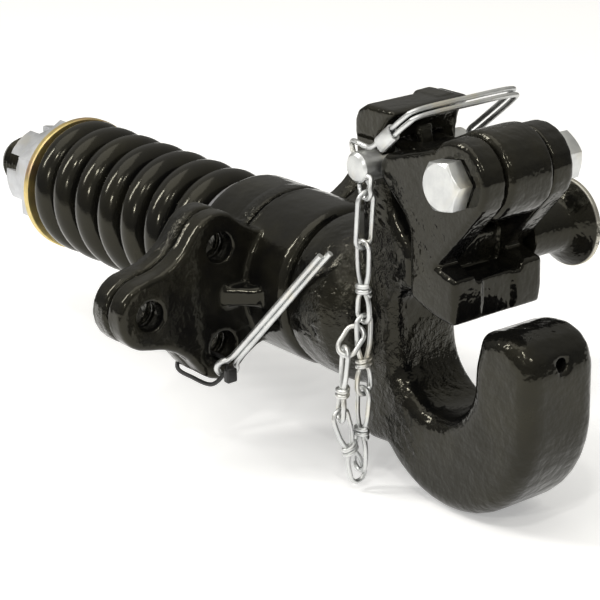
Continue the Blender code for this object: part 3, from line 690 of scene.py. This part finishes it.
def smooth_path(knots: Sequence[Vector], steps: int, closed: bool = False) -> list[Vector]:
    """Return a smooth curve through knots.

    Args:
        knots: The points that it passes through.
        steps: How many points each stretch gets.
        closed: Whether it closes on itself.

    Returns:
        The curve's points.
    """
    count = len(knots)
    result = []
    for i in range(count if closed else count - 1):
        if closed:
            p0, p1, p2, p3 = (knots[(i + j) % count] for j in (-1, 0, 1, 2))
        else:
            p0, p1, p2, p3 = (knots[min(max(i + j, 0), count - 1)] for j in (-1, 0, 1, 2))
        for step in range(steps):
            t = step / steps
            result.append(0.5 * (2 * p1 + (p2 - p0) * t + (2 * p0 - 5 * p1 + 4 * p2 - p3) * t * t
                                 + (3 * p1 - p0 - 3 * p2 + p3) * t ** 3))
    if not closed:
        result.append(knots[-1].copy())
    return result


def made(kind: type, name: str, **values: Any) -> Any:
    """Return a dataclass field that starts as a new material of one kind of finish."""
    return field(default_factory=lambda: kind(name, **values).material())


@dataclass(frozen=True)
class Finishes:
    """The finishes that the pieces share."""

    forging: Material = made(Enamel, "forging_enamel", coarse_from=0.064, coarse_to=0.130)
    housing: Material = made(
        Enamel, "housing_enamel", lump_size=0.014, lump_depth=0.00080, peel_depth=0.00014,
        coarse_from=-0.009, coarse_to=0.004)
    latch: Material = made(Enamel, "latch_enamel", lump_size=0.013, lump_depth=0.00055)
    lever: Material = made(Enamel, "lever_enamel", lump_size=0.009, lump_depth=0.00045)
    spring: Material = made(
        Enamel, "spring_enamel", colour=(0.0055, 0.0055, 0.0056), lump_size=0.006, lump_depth=0.00005,
        peel_size=0.0016, peel_depth=0.00004, gloss=(0.10, 0.20))
    zinc: Material = made(Plating, "zinc_plate")
    dull_zinc: Material = made(
        Plating, "dull_zinc", colour=(0.66, 0.67, 0.69), shade=(0.56, 0.57, 0.59), tint=(0.60, 0.59, 0.56),
        rough=(0.48, 0.66))
    yellow: Material = made(
        Plating, "yellow_zinc", colour=(0.80, 0.62, 0.26), shade=(0.60, 0.50, 0.22), tint=(0.66, 0.44, 0.30))
    bronze: Material = made(
        Plating, "bush_bronze", colour=(0.58, 0.40, 0.19), shade=(0.42, 0.28, 0.13), tint=(0.36, 0.25, 0.14))
    steel: Material = made(
        Plating, "plain_steel", colour=(0.40, 0.40, 0.41), shade=(0.25, 0.25, 0.26), tint=(0.30, 0.26, 0.22))
    nylon: Material = made(Nylon, "black_nylon")


@dataclass
class MountHousings:
    """The two flanged housings, with the spare cotter tied to a bolt hole."""

    finishes: Finishes
    grain: float = 0.0013
    rounds: int = 7
    hole: Vector = point(0.0, -0.061, -0.028)
    outward: Vector = point(0.0, -0.5299, -0.8480)
    tie_route: tuple[Range, ...] = (
        (0.00576, 0.0062), (0.0174, 0.0062), (0.0239, 0.010), (0.0239, 0.0138), (0.0174, 0.0218),
        (0.0, 0.0228), (-0.01424, 0.0218), (-0.0178, 0.0138), (-0.0178, 0.010), (-0.01513, 0.0062),
        (-0.00432, 0.0062))
    tie_half: float = 0.0012
    tie_steps: int = 8
    head_edge: float = 0.0004
    cotter_eye: float = 0.0054
    cotter_leg: float = 0.0017
    cotter_length: float = 0.096
    cotter_shift: float = -0.0005
    cotter_place: Range = (0.0239, 0.0095)
    cotter_gap: float = 0.00002
    cotter_neck: float = 0.0035
    cotter_middle: float = 0.040
    cotter_short: float = 0.004
    cotter_opening: float = 28.0
    cotter_steps: int = 36
    cotter_tip: Vector = point(0.080, -0.039, 0.038)

    def housings(self) -> None:
        """Soften and dress both castings."""
        for node in ("front_housing", "rear_housing"):
            item = Hand.softened(node, f"{node}_casting", self.grain, self.rounds)
            Hand.settle(item, Body.MOUNT, "housing_enamel", self.finishes.housing, node)
        for node in ("front_bush", "rear_bush"):
            Hand.dress(node, self.finishes.bronze)

    def tie(self) -> None:
        """Draw the cable tie through its hole and round the flange's edge."""
        ahead = Vector((1.0, 0.0, 0.0))
        knots = [self.hole + ahead * along + self.outward * out for along, out in self.tie_route]
        route = smooth_path(knots, self.tie_steps, closed=True)
        strap = Hand.wire("cable_tie_strap", [route], self.tie_half, closed=True)
        Hand.settle(strap, Body.MOUNT, "nylon", self.finishes.nylon, "cable_tie")
        head = Hand.eased("tie_head", "cable_tie_head", self.head_edge)
        Hand.settle(head, Body.MOUNT, "nylon", self.finishes.nylon, "tie_head")

    def cotter(self) -> None:
        """Draw the spare cotter, its eye on the tie and its legs side by side."""
        ahead, out = self.cotter_place
        eye = self.hole + Vector((ahead, 0.0, 0.0)) + self.outward * out
        along = (self.cotter_tip - eye).normalized()
        eye += along * self.cotter_shift
        across = along.cross(self.outward).normalized()
        apart = across * (self.cotter_leg + self.cotter_gap)
        neck = eye + along * (self.cotter_eye + self.cotter_neck)
        middle = neck + along * self.cotter_middle
        end = eye + along * self.cotter_length
        opening = math.radians(self.cotter_opening)
        loop = []
        for i in range(self.cotter_steps + 1):
            angle = opening + (2.0 * math.pi - 2.0 * opening) * i / self.cotter_steps
            loop.append(eye + (along * math.cos(angle) + across * math.sin(angle)) * self.cotter_eye)
        upper = [end + apart, middle + apart, neck + apart]
        lower = [neck - apart, middle - apart, end - along * self.cotter_short - apart]
        legs = Hand.wire("spare_cotter", [upper + loop + lower], self.cotter_leg, detail=4)
        Hand.settle(legs, Body.MOUNT, "zinc", self.finishes.zinc, "cotter_pin")

    def build(self) -> None:
        """Build the mount's pieces."""
        self.housings()
        self.tie()
        self.cotter()


@dataclass
class CushionPack:
    """The wound spring between its washers, and the slotted nut and thread behind it."""

    finishes: Finishes
    mean_radius: float = 0.0326
    wire_radius: float = 0.0094
    turns: float = 7.0
    end_turns: float = 0.9
    end_pitch: float = 0.0202
    start_angle: float = 60.0
    steps: int = 64
    shade_angle: float = 40.0
    travel: float = 0.012
    ground: float = 0.0055
    seat_bore: float = 0.0183
    end_bore: float = 0.0169
    washer_edge: float = 0.0007
    nut_edge: float = 0.0006
    thread_radius: float = 0.0165
    thread_inside: float = 0.008
    thread_dome: float = 0.005
    thread_dome_steps: tuple[Range, ...] = ((0.0, 0.66), (0.3, 0.36))
    thread_first: float = 0.8
    thread_pitch: float = 0.0036
    thread_depth: float = 0.0012
    thread_crest: Range = (0.42, 0.58)

    def spring(self) -> None:
        """Wind the spring and grind its ends flat."""
        low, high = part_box("cushion_spring")
        start = high.x - (self.wire_radius - self.ground)
        length = high.x - low.x - 2.0 * (self.wire_radius - self.ground)
        free = self.turns - 2.0 * self.end_turns
        pitch = (length - 2.0 * self.end_turns * self.end_pitch) / free
        route = []
        for step in range(round(self.turns * self.steps) + 1):
            turn = step / self.steps
            first = min(turn, self.end_turns)
            last = max(0.0, turn - (self.turns - self.end_turns))
            along = self.end_pitch * (first + last) + pitch * (turn - first - last)
            angle = math.radians(self.start_angle) - 2.0 * math.pi * turn
            round_axis = Vector((0.0, math.cos(angle), math.sin(angle))) * self.mean_radius
            route.append(Vector((start - along, 0.0, 0.0)) + round_axis)
        coil = Hand.wire("wound_spring", [route], self.wire_radius, detail=6)
        Hand.edit(coil)
        for end, outward in ((high.x, 1.0), (low.x, -1.0)):
            bpy.ops.mesh.select_all(action="SELECT")
            bpy.ops.mesh.bisect(plane_co=(end, 0.0, 0.0), plane_no=(outward, 0.0, 0.0), use_fill=True,
                                clear_outer=True)
        Hand.close()
        Hand.shade(coil, self.shade_angle)
        Hand.settle(coil, Body.SPRING_PACK, "spring_enamel", self.finishes.spring, "cushion_spring")
        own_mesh(coil)

    def washers(self) -> None:
        """Turn both washers with their outer edges broken."""
        edge = self.washer_edge
        for node, name, inner, body, slot, material in (
                ("spring_seat_washer", "seat_washer_turned", self.seat_bore, Body.SPRING_PACK,
                 "plain_steel", self.finishes.steel),
                ("end_washer", "end_washer_turned", self.end_bore, Body.HOOK,
                 "yellow_zinc", self.finishes.yellow)):
            low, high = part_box(node)
            outer = high.z
            profile = [(low.x, inner), (low.x, outer - edge), (low.x + edge, outer), (high.x - edge, outer),
                       (high.x, outer - edge), (high.x, inner)]
            washer = Hand.turned(name, profile, Vector(), Axis.X, sides=128, bored=True)
            Hand.settle(washer, body, slot, material, node)

    def nut(self) -> None:
        """Break the slotted nut's edges."""
        nut = Hand.eased("castle_nut", "slotted_nut", self.nut_edge)
        Hand.settle(nut, Body.HOOK, "zinc", self.finishes.dull_zinc, "castle_nut")

    def thread(self) -> None:
        """Cut the shank's thread where it stands out of the nut."""
        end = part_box("hook_body")[0].x
        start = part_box("castle_nut")[0].x + self.thread_inside
        crest = self.thread_radius
        root = crest - self.thread_depth
        dome = self.thread_dome
        profile = [(end + dome * along, crest - dome * drop) for along, drop in self.thread_dome_steps]
        place = end + dome * self.thread_first
        while place < start:
            profile.append((place, root))
            profile += [(place + self.thread_pitch * share, crest) for share in self.thread_crest]
            place += self.thread_pitch
        thread = Hand.turned("shank_thread", profile, Vector(), Axis.X, sides=64)
        Hand.settle(thread, Body.HOOK, "forging_enamel", self.finishes.forging)

    def build(self) -> None:
        """Build the spring end's pieces."""
        self.spring()
        self.washers()
        self.nut()
        self.thread()


@dataclass
class HookForging:
    """The forged hook with its shank, neck and horn."""

    finishes: Finishes
    grain: float = 0.0014
    rounds: int = 10
    core_inside: float = 0.009
    core_share: float = 0.86
    core_shift: float = 0.0006

    def build(self) -> None:
        """Soften the forging and draw its thread core in under the cut thread."""
        item = Hand.softened("hook_body", "hook_forging", self.grain, self.rounds)
        core_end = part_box("castle_nut")[0].x + self.core_inside
        for corner in item.data.vertices:
            if corner.co.x < core_end:
                corner.co.y *= self.core_share
                corner.co.z *= self.core_share
                corner.co.x += self.core_shift
        Hand.settle(item, Body.HOOK, "forging_enamel", self.finishes.forging, "hook_body")


@dataclass
class LatchGear:
    """The latch, its lift knob, and the hinge bolt with its nut."""

    finishes: Finishes
    grain: float = 0.0011
    rounds: int = 6
    hinge: Vector = point(0.1663, 0.0, 0.0911)
    cheek: float = 0.0303
    flats: float = 0.0238
    face_share: float = 0.475
    collar_share: float = 0.47
    collar: float = 0.0012
    corner_over: float = 0.0002
    chamfer_drop: float = 0.0016
    corner_edge: float = 0.00025
    corner_angle: float = 40.0
    shade_angle: float = 25.0
    head: float = 0.0102
    head_gap: float = 0.0006
    head_turn: float = 8.0
    nut: float = 0.0135
    nut_turn: float = 20.0
    bore_gap: float = 0.0003
    bore_over: float = 0.004
    bolt_radius: float = 0.0079
    bolt_inside: float = 0.002
    bolt_pitch: float = 0.0023
    bolt_depth: float = 0.0010
    bolt_root: Range = (0.4, 0.6)
    bolt_thread: float = 0.004
    bolt_end: Range = (0.0008, 0.0012)
    knob: Vector = point(0.147, 0.0, 0.0475)
    knob_stem: float = 0.0135
    knob_rim: float = 0.0235
    knob_foot: float = 0.0006
    knob_profile: tuple[Range, ...] = (
        (0.0130, 0.0135), (0.0105, 0.0147), (0.0085, 0.0177), (0.0060, 0.0201), (0.0038, 0.0227),
        (0.0028, 0.0235), (0.0009, 0.0235), (0.0001, 0.0226), (0.0, 0.0205), (0.0006, 0.0175),
        (0.0006, 0.0030))

    def latch(self) -> None:
        """Soften the latch."""
        item = Hand.softened("latch", "latch_forging", self.grain, self.rounds)
        Hand.settle(item, Body.LATCH, "latch_enamel", self.finishes.latch, "latch")

    def lift_knob(self) -> None:
        """Turn the spool-shaped knob with its rim rubbed bright."""
        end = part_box("latch_knob")[1].y
        foot = self.knob_foot
        profile = [(self.cheek, self.knob_stem - foot), (self.cheek + foot, self.knob_stem)]
        profile += [(end - before, radius) for before, radius in self.knob_profile]
        item = Hand.turned("lift_knob", profile, self.knob, Axis.Y, sides=96)
        worn = WornEnamel("knob_enamel", gloss=(0.08, 0.18), lump_depth=0.00008, centre_x=self.knob.x,
                          centre_z=self.knob.z, rim=self.knob_rim)
        Hand.settle(item, Body.LATCH, "knob_enamel", worn.material(), "latch_knob")

    def blank(self, low: float, high: float, both: bool) -> Item:
        """Turn the round blank that chamfers a hexagon.

        Args:
            low: Where the blank starts along Y.
            high: Where it ends.
            both: Whether the high end is chamfered too.

        Returns:
            The blank.
        """
        corner = self.flats / math.sqrt(3.0) + self.corner_over
        face = self.flats * self.face_share
        drop = self.chamfer_drop
        profile = [(low, face), (low + drop, corner)]
        if both:
            profile += [(high - drop, corner), (high, face)]
        else:
            profile.append((high, corner))
        return Hand.turned("blank", profile, self.hinge, Axis.Y, sides=72)

    def plate(self, item: Item, node: str) -> None:
        """Break the corners of the bolt or its nut and plate it for its node."""
        Hand.bevel(item, self.corner_edge, self.corner_angle)
        Hand.shade(item, self.shade_angle)
        Hand.settle(item, Body.HOOK, "zinc", self.finishes.zinc, node)

    def bolt(self) -> None:
        """Make the hinge bolt with its chamfered head and rolled thread."""
        seat = -self.cheek
        low = seat - self.head
        item = Hand.hexagon("hinge_bolt_plated", self.flats, low, seat - self.head_gap, self.hinge, Axis.Y,
                            self.head_turn)
        Hand.meet(item, self.blank(low, seat, False), "INTERSECT")
        radius = self.flats * self.collar_share
        collar = [(seat - self.collar, radius), (seat, radius)]
        Hand.meet(item, Hand.turned("collar", collar, self.hinge, Axis.Y, sides=72), "UNION")
        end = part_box("hinge_bolt")[1].y
        pitch = self.bolt_pitch
        crest = self.bolt_radius
        root = crest - self.bolt_depth
        run_out, point_drop = self.bolt_end
        place = self.cheek - self.bolt_thread
        profile = [(seat - self.bolt_inside, crest), (place, crest)]
        while place + pitch < end - run_out:
            profile += [(place + pitch * share, root) for share in self.bolt_root]
            profile.append((place + pitch, crest))
            place += pitch
        profile.append((end, crest - point_drop))
        Hand.meet(item, Hand.turned("stem", profile, self.hinge, Axis.Y, sides=48), "UNION")
        self.plate(item, "hinge_bolt")

    def hinge_nut(self) -> None:
        """Make the hinge bolt's chamfered nut."""
        low = self.cheek
        high = low + self.nut
        item = Hand.hexagon("hinge_nut_plated", self.flats, low, high, self.hinge, Axis.Y, self.nut_turn)
        Hand.meet(item, self.blank(low, high, True), "INTERSECT")
        radius = self.bolt_radius + self.bore_gap
        bore = [(low - self.bore_over, radius), (high + self.bore_over, radius)]
        Hand.meet(item, Hand.turned("bore", bore, self.hinge, Axis.Y, sides=48), "DIFFERENCE")
        self.plate(item, "hinge_nut")

    def build(self) -> None:
        """Build the latch's pieces."""
        self.latch()
        self.lift_knob()
        self.bolt()
        self.hinge_nut()


@dataclass
class LockGear:
    """The lock lever on its pin, with its small coil."""

    finishes: Finishes
    grain: float = 0.0009
    rounds: int = 6
    pin: Vector = point(0.100, 0.0, 0.086)
    pin_edge: float = 0.0005
    coil_radius: float = 0.0102
    coil_wire: float = 0.0006
    coil_turns: float = 1.5
    coil_pitch: float = 0.00175
    coil_start: float = -0.0031
    coil_angle: float = 200.0
    coil_steps: int = 48

    def lever(self) -> None:
        """Soften the lever."""
        item = Hand.softened("lock_lever", "lock_lever_casting", self.grain, self.rounds)
        Hand.settle(item, Body.LOCK, "lever_enamel", self.finishes.lever, "lock_lever")

    def coil(self) -> None:
        """Wind the lever's return coil."""
        route = []
        for step in range(round(self.coil_turns * self.coil_steps) + 1):
            turn = step / self.coil_steps
            angle = 2.0 * math.pi * turn + math.radians(self.coil_angle)
            side = self.coil_start - self.coil_pitch * turn
            route.append(self.pin + Vector((self.coil_radius * math.cos(angle), side,
                                            self.coil_radius * math.sin(angle))))
        item = Hand.wire("lock_return_coil", [route], self.coil_wire)
        Hand.settle(item, Body.HOOK, "plain_steel", self.finishes.steel, "lock_spring")

    def safety_pin(self) -> None:
        """Break the pin's edges."""
        item = Hand.eased("safety_pin", "safety_pin_plated", self.pin_edge)
        Hand.settle(item, Body.HOOK, "zinc", self.finishes.zinc, "safety_pin")

    def build(self) -> None:
        """Build the lock's pieces."""
        self.lever()
        self.coil()
        self.safety_pin()


@dataclass
class BailAndChain:
    """The wire bail with its crimp sleeve, and the chain that hangs from the pin's eye."""

    finishes: Finishes
    pivot: Vector = point(0.100, -0.0334, 0.086)
    tilt: float = 40.0
    wire: float = 0.00135
    wire_steps: int = 8
    pin_radius: float = 0.008
    pair: float = 0.00175
    lead_route: tuple[Point, ...] = (
        (0.0, 0.0, 0.0094), (0.0, 0.0, 0.008), (0.0, 0.0, -0.008), (0.0, 0.0, -0.0094),
        (-0.0006, 0.0022, -0.0122), (-0.0016, 0.0054, -0.0124), (-0.003, 0.010, -0.009),
        (-0.003, 0.016, -0.0032))
    strand_starts: Range = (0.023, 0.024)
    strand_route: tuple[Range, ...] = (
        (-0.003, 0.032), (-0.0025, 0.048), (0.003, 0.055), (0.0338, 0.056), (0.0626, 0.055),
        (0.0676, 0.048), (0.0666, 0.022))
    turn_route: tuple[Point, ...] = (
        (0.0656, 0.01315, -0.0016), (0.0656, 0.01015, 0.0), (0.0656, 0.01315, 0.0016))
    sleeve_edge: float = 0.00035
    eye_side: float = -0.004
    eye_drop: float = 0.009
    eye_half: float = 0.0042
    eye_bend: tuple[Range, ...] = ((1.0, 0.0035), (0.57, 0.0008))
    eye_foot: float = -0.0022
    eye_gap: float = 0.0003
    eye_spread: float = 30.0
    eye_slack: float = 0.0007
    loop_half: float = 0.0046
    loop_cross: tuple[Range, ...] = ((-0.0018, 0.00135), (0.0012, 0.0016))
    loop_swell: Range = (0.45, 0.86)
    loop_arc: int = 6
    loop_steps: int = 4
    wrap_turns: float = 2.0
    wrap_half: Range = (0.0037, 0.0025)
    wrap_length: float = 0.0056
    wrap_steps: int = 44
    ring_half: float = 0.0050
    ring_steps: int = 20
    knot_shares: tuple[float, ...] = (0.60, 0.60, 0.53, 0.45, 0.40)
    run_lengths: tuple[float, ...] = (0.0301, 0.0434, 0.0434, 0.0480)
    run_leans: tuple[float, ...] = (-6.0, -1.0, -0.7, -5.6)
    run_lap: float = 0.00335
    bight: tuple[tuple[Point, Point, float], ...] = (
        ((-0.0082, -0.0002, -0.1605), (-0.0092, -0.0129, -0.1176), 89.6),
        ((-0.0088, -0.0122, -0.1233), (-0.0053, -0.0105, -0.0820), 158.2),
        ((-0.0066, -0.0118, -0.0859), (-0.0050, -0.0016, -0.0731), 34.1))

    def spot(self, along: float, up: float, depth: float) -> Vector:
        """Return a point in the bail's own directions.

        Args:
            along: The distance along Y from the pivot.
            up: The distance up the bail.
            depth: The distance along the pin's cross hole.

        Returns:
            The point in the part's frame.
        """
        tilt = math.radians(self.tilt)
        rise = Vector((math.cos(tilt), 0.0, math.sin(tilt)))
        through = Vector((math.sin(tilt), 0.0, -math.cos(tilt)))
        return self.pivot + Vector((0.0, along, 0.0)) + rise * up + through * depth

    def bail(self) -> None:
        """Bend the bail: through the pin, out to the far side and back as a second strand."""
        near = self.strand_route[0][0]
        out, home = ([(near, start, depth)] + [(along, up, depth) for along, up in self.strand_route]
                     for start, depth in zip(self.strand_starts, (-self.pair, self.pair)))
        route = [*self.lead_route, *out, *self.turn_route, *reversed(home)]
        knots = [self.spot(*place) for place in route]
        item = Hand.wire("bail_bent_wire", [smooth_path(knots, self.wire_steps)], self.wire, detail=4)
        Hand.settle(item, Body.BAIL, "zinc", self.finishes.zinc, "bail_wire")
        sleeve = Hand.eased("bail_ferrule", "bail_crimp_sleeve", self.sleeve_edge)
        Hand.settle(sleeve, Body.BAIL, "zinc", self.finishes.zinc, "bail_ferrule")

    def eye(self) -> None:
        """Bend the staple under the pin that carries the chain."""
        spread = math.radians(self.eye_spread)
        foot = self.pin_radius + self.eye_gap
        bottom = self.pin_radius + self.eye_drop
        half = [(self.eye_foot, reach * math.sin(spread), reach * math.cos(spread))
                for reach in (foot, foot + 2.0 * self.wire)]
        half += [(self.eye_side, self.eye_half * share, bottom - less) for share, less in self.eye_bend]
        route = half + [(self.eye_side, 0.0, bottom)]
        route += [(along, -up, depth) for along, up, depth in reversed(half)]
        knots = [self.spot(*place) for place in route]
        item = Hand.wire("chain_eye_staple", [smooth_path(knots, self.wire_steps)], self.wire, detail=4)
        Hand.settle(item, Body.HOOK, "zinc", self.finishes.zinc, "chain_eye")

    def link_ends(self) -> list[tuple[Vector, Vector, float]]:
        """Return each link's two ends and its turn, down the run and back up the bight."""
        depth = self.pin_radius + self.eye_drop - 2.0 * self.wire - self.eye_slack
        start = self.spot(self.eye_side, 0.0, depth)
        ends = []
        top = start
        for number, (length, lean) in enumerate(zip(self.run_lengths, self.run_leans), 1):
            down = Vector((math.sin(math.radians(lean)), 0.0, -math.cos(math.radians(lean))))
            bottom = top + down * length
            ends.append((top, bottom, math.radians(90.0 * (number % 2))))
            top = bottom - down * self.run_lap
        for low, high, turn in self.bight:
            ends.append((start + Vector(low), start + Vector(high), math.radians(turn)))
        return ends

    def knotted_link(self, top: Vector, bottom: Vector, across: Vector, share: float) -> list[Route]:
        """Return the runs of a link: two long loops and the wraps that tie them.

        Args:
            top: The link's upper end.
            bottom: Its lower end.
            across: The direction that its loops are wide in.
            share: How far down the link its knot is.

        Returns:
            The points of each run.
        """
        axis = (bottom - top).normalized()
        depth = axis.cross(across)
        length = (bottom - top).length
        knot = top + axis * length * share
        wide = self.loop_half
        swell_at, swell = self.loop_swell
        runs = []
        for outward, reach in ((-axis, length * share), (axis, length * (1.0 - share))):
            straight = reach - wide
            leg = [*self.loop_cross, (straight * swell_at, wide * swell), (straight, wide)]
            angles = [math.pi * i / self.loop_arc for i in range(1, self.loop_arc)]
            arc = [(straight + wide * math.sin(angle), wide * math.cos(angle)) for angle in angles]
            shape = leg + arc + [(along, -side) for along, side in reversed(leg)]
            knots = [knot + outward * along + across * side for along, side in shape]
            runs.append(smooth_path(knots, self.loop_steps))
        wraps = []
        flat, thick = self.wrap_half
        for i in range(self.wrap_steps + 1):
            angle = 2.0 * math.pi * self.wrap_turns * i / self.wrap_steps
            shift = (i / self.wrap_steps - 0.5) * self.wrap_length
            wraps.append(knot + axis * shift + across * flat * math.cos(angle)
                         + depth * thick * math.sin(angle))
        runs.append(wraps)
        return runs

    def ring_link(self, top: Vector, bottom: Vector, across: Vector) -> Route:
        """Return a plain oval ring.

        Args:
            top: The ring's one end.
            bottom: Its other end.
            across: The direction that it is wide in.

        Returns:
            Its closed route.
        """
        axis = (bottom - top).normalized()
        half = self.ring_half
        route = []
        for end, sign in ((top + axis * half, -1.0), (bottom - axis * half, 1.0)):
            for i in range(self.ring_steps + 1):
                angle = math.pi * i / self.ring_steps
                route.append(end + axis * sign * half * math.sin(angle)
                             - across * sign * half * math.cos(angle))
        return route

    def chain(self) -> None:
        """Make every link: plain rings at both ends and knotted links between them."""
        ends = self.link_ends()
        for number, (top, bottom, turn) in enumerate(ends, 1):
            axis = (bottom - top).normalized()
            across = Vector((math.cos(turn), math.sin(turn), 0.0))
            across = (across - axis * across.dot(axis)).normalized()
            name = f"knotted_link_{number}"
            if number in (1, len(ends)):
                item = Hand.wire(name, [self.ring_link(top, bottom, across)], self.wire, closed=True)
            else:
                runs = self.knotted_link(top, bottom, across, self.knot_shares[number - 2])
                item = Hand.wire(name, runs, self.wire)
            body = Body.CHAIN_TOP if number == 1 else Body.CHAIN_BIGHT
            Hand.settle(item, body, "zinc", self.finishes.zinc, f"chain_link_{number}")

    def build(self) -> None:
        """Build the bail's and the chain's pieces."""
        self.bail()
        self.eye()
        self.chain()


@dataclass(frozen=True)
class Lamp:
    """A soft box: where it stands, where it points, its size and its power."""

    name: str
    place: Point
    target: Point
    size: Range
    power: float
    colour: Colour = (1.0, 0.985, 0.955)

    def hang(self) -> None:
        """Add the lamp to the scene."""
        light = bpy.data.lights.new(self.name, "AREA")
        light.shape = "RECTANGLE"
        light.size, light.size_y = self.size
        light.energy = self.power
        light.color = self.colour
        item = bpy.data.objects.new(self.name, light)
        item.location = self.place
        aim = Vector(self.target) - Vector(self.place)
        item.rotation_euler = aim.to_track_quat("-Z", "Y").to_euler()
        bpy.context.scene.collection.objects.link(item)


@dataclass
class Studio:
    """A pale floor, soft boxes and the camera."""

    camera_place: Vector = point(0.86834, -0.66556, 0.37347)
    azimuth: float = 52.409
    elevation: float = 19.782
    roll: float = 1.411
    lens: float = 123.68
    sensor: float = 36.0
    clip: float = 0.01
    floor_half: float = 6.0
    floor_gap: float = 0.0004
    floor_colour: Colour = (0.93, 0.93, 0.93)
    floor_rough: float = 0.9
    floor_glow: float = 0.35
    mottle_size: float = 0.35
    mottle: float = 0.99
    zenith: float = 0.62
    horizon: float = 0.16
    air: Colour = (1.0, 0.98, 0.91)
    lamps: tuple[Lamp, ...] = (
        Lamp("overhead_box", (-0.10, -0.25, 1.80), (0.0, 0.0, 0.0), (1.6, 1.3), 8.0),
        Lamp("left_strip", (-0.75, -0.95, 1.10), (0.02, 0.0, 0.02), (0.14, 0.8), 10.5),
        Lamp("front_window", (1.20, -0.10, 1.05), (0.10, 0.0, 0.02), (0.10, 0.10), 1.2),
        Lamp("camera_box", (0.62, -1.08, 0.66), (0.10, 0.0, 0.0), (0.09, 0.09), 2.4),
        Lamp("high_box", (0.76, -0.62, 1.25), (0.12, 0.0, 0.0), (0.09, 0.09), 2.6))

    def floor(self) -> None:
        """Lay the floor under the part's lowest point, with a glow that doesn't light the part."""
        low = CAD_BOX[0][2]
        bpy.ops.object.select_all(action="DESELECT")
        place = (0.0, 0.0, low - self.floor_gap)
        bpy.ops.mesh.primitive_plane_add(size=2.0 * self.floor_half, location=place)
        item = bpy.context.object
        item.name = "studio_floor"
        graph = Graph("floor_paper")
        darker = [value * self.mottle for value in self.floor_colour]
        share = graph.noise(self.mottle_size, detail=2.0)
        glow = graph.mixed(graph.seen(), (0.0, 0.0, 0.0), (1.0, 1.0, 1.0))
        graph.feed(base_color=graph.mixed(share, self.floor_colour, darker), roughness=self.floor_rough,
                   emission_color=glow, emission_strength=self.floor_glow)
        item.data.materials.append(graph.material)

    def sky(self) -> None:
        """Light the room evenly, brighter overhead than at the horizon."""
        world = bpy.data.worlds.new("studio_room")
        bpy.context.scene.world = world
        world.use_nodes = True
        tree = world.node_tree
        tree.nodes.clear()
        coordinates, split, ramp, light, output = (tree.nodes.new(f"ShaderNode{kind}") for kind in (
            "TexCoord", "SeparateXYZ", "MapRange", "Background", "OutputWorld"))
        ramp.inputs["To Min"].default_value = self.horizon
        ramp.inputs["To Max"].default_value = self.zenith
        light.inputs["Color"].default_value = (*self.air, 1.0)
        for source, target in ((coordinates.outputs["Generated"], split.inputs[0]),
                               (split.outputs["Z"], ramp.inputs["Value"]),
                               (ramp.outputs[0], light.inputs["Strength"]),
                               (light.outputs[0], output.inputs["Surface"])):
            tree.links.new(source, target)

    def camera(self) -> None:
        """Set the camera at the photographed angle."""
        azimuth = math.radians(self.azimuth)
        elevation = math.radians(self.elevation)
        back = Vector((math.sin(azimuth) * math.cos(elevation), -math.cos(azimuth) * math.cos(elevation),
                       math.sin(elevation)))
        right = Vector((math.cos(azimuth), math.sin(azimuth), 0.0))
        up = back.cross(right)
        roll = math.radians(self.roll)
        across = right * math.cos(roll) - up * math.sin(roll)
        upward = right * math.sin(roll) + up * math.cos(roll)
        data = bpy.data.cameras.new("photo_camera")
        data.lens = self.lens
        data.sensor_width = self.sensor
        data.clip_start = self.clip
        item = bpy.data.objects.new("photo_camera", data)
        item.matrix_world = Matrix.Translation(self.camera_place) @ Matrix(
            (across, upward, back)).transposed().to_4x4()
        bpy.context.scene.collection.objects.link(item)
        bpy.context.scene.camera = item

    def build(self) -> None:
        """Build the studio."""
        self.floor()
        self.sky()
        for lamp in self.lamps:
            lamp.hang()
        self.camera()
        bpy.context.scene.view_settings.view_transform = "Standard"


def main() -> None:
    """Build the part's looks and the studio."""
    logging.basicConfig(level=logging.INFO, format="%(message)s")
    finishes = Finishes()
    for assembly in (MountHousings, CushionPack, HookForging, LatchGear, LockGear, BailAndChain):
        assembly(finishes).build()
        LOG.info("%s is finished", assembly.__name__)
    Studio().build()


if __name__ == "__main__":
    main()
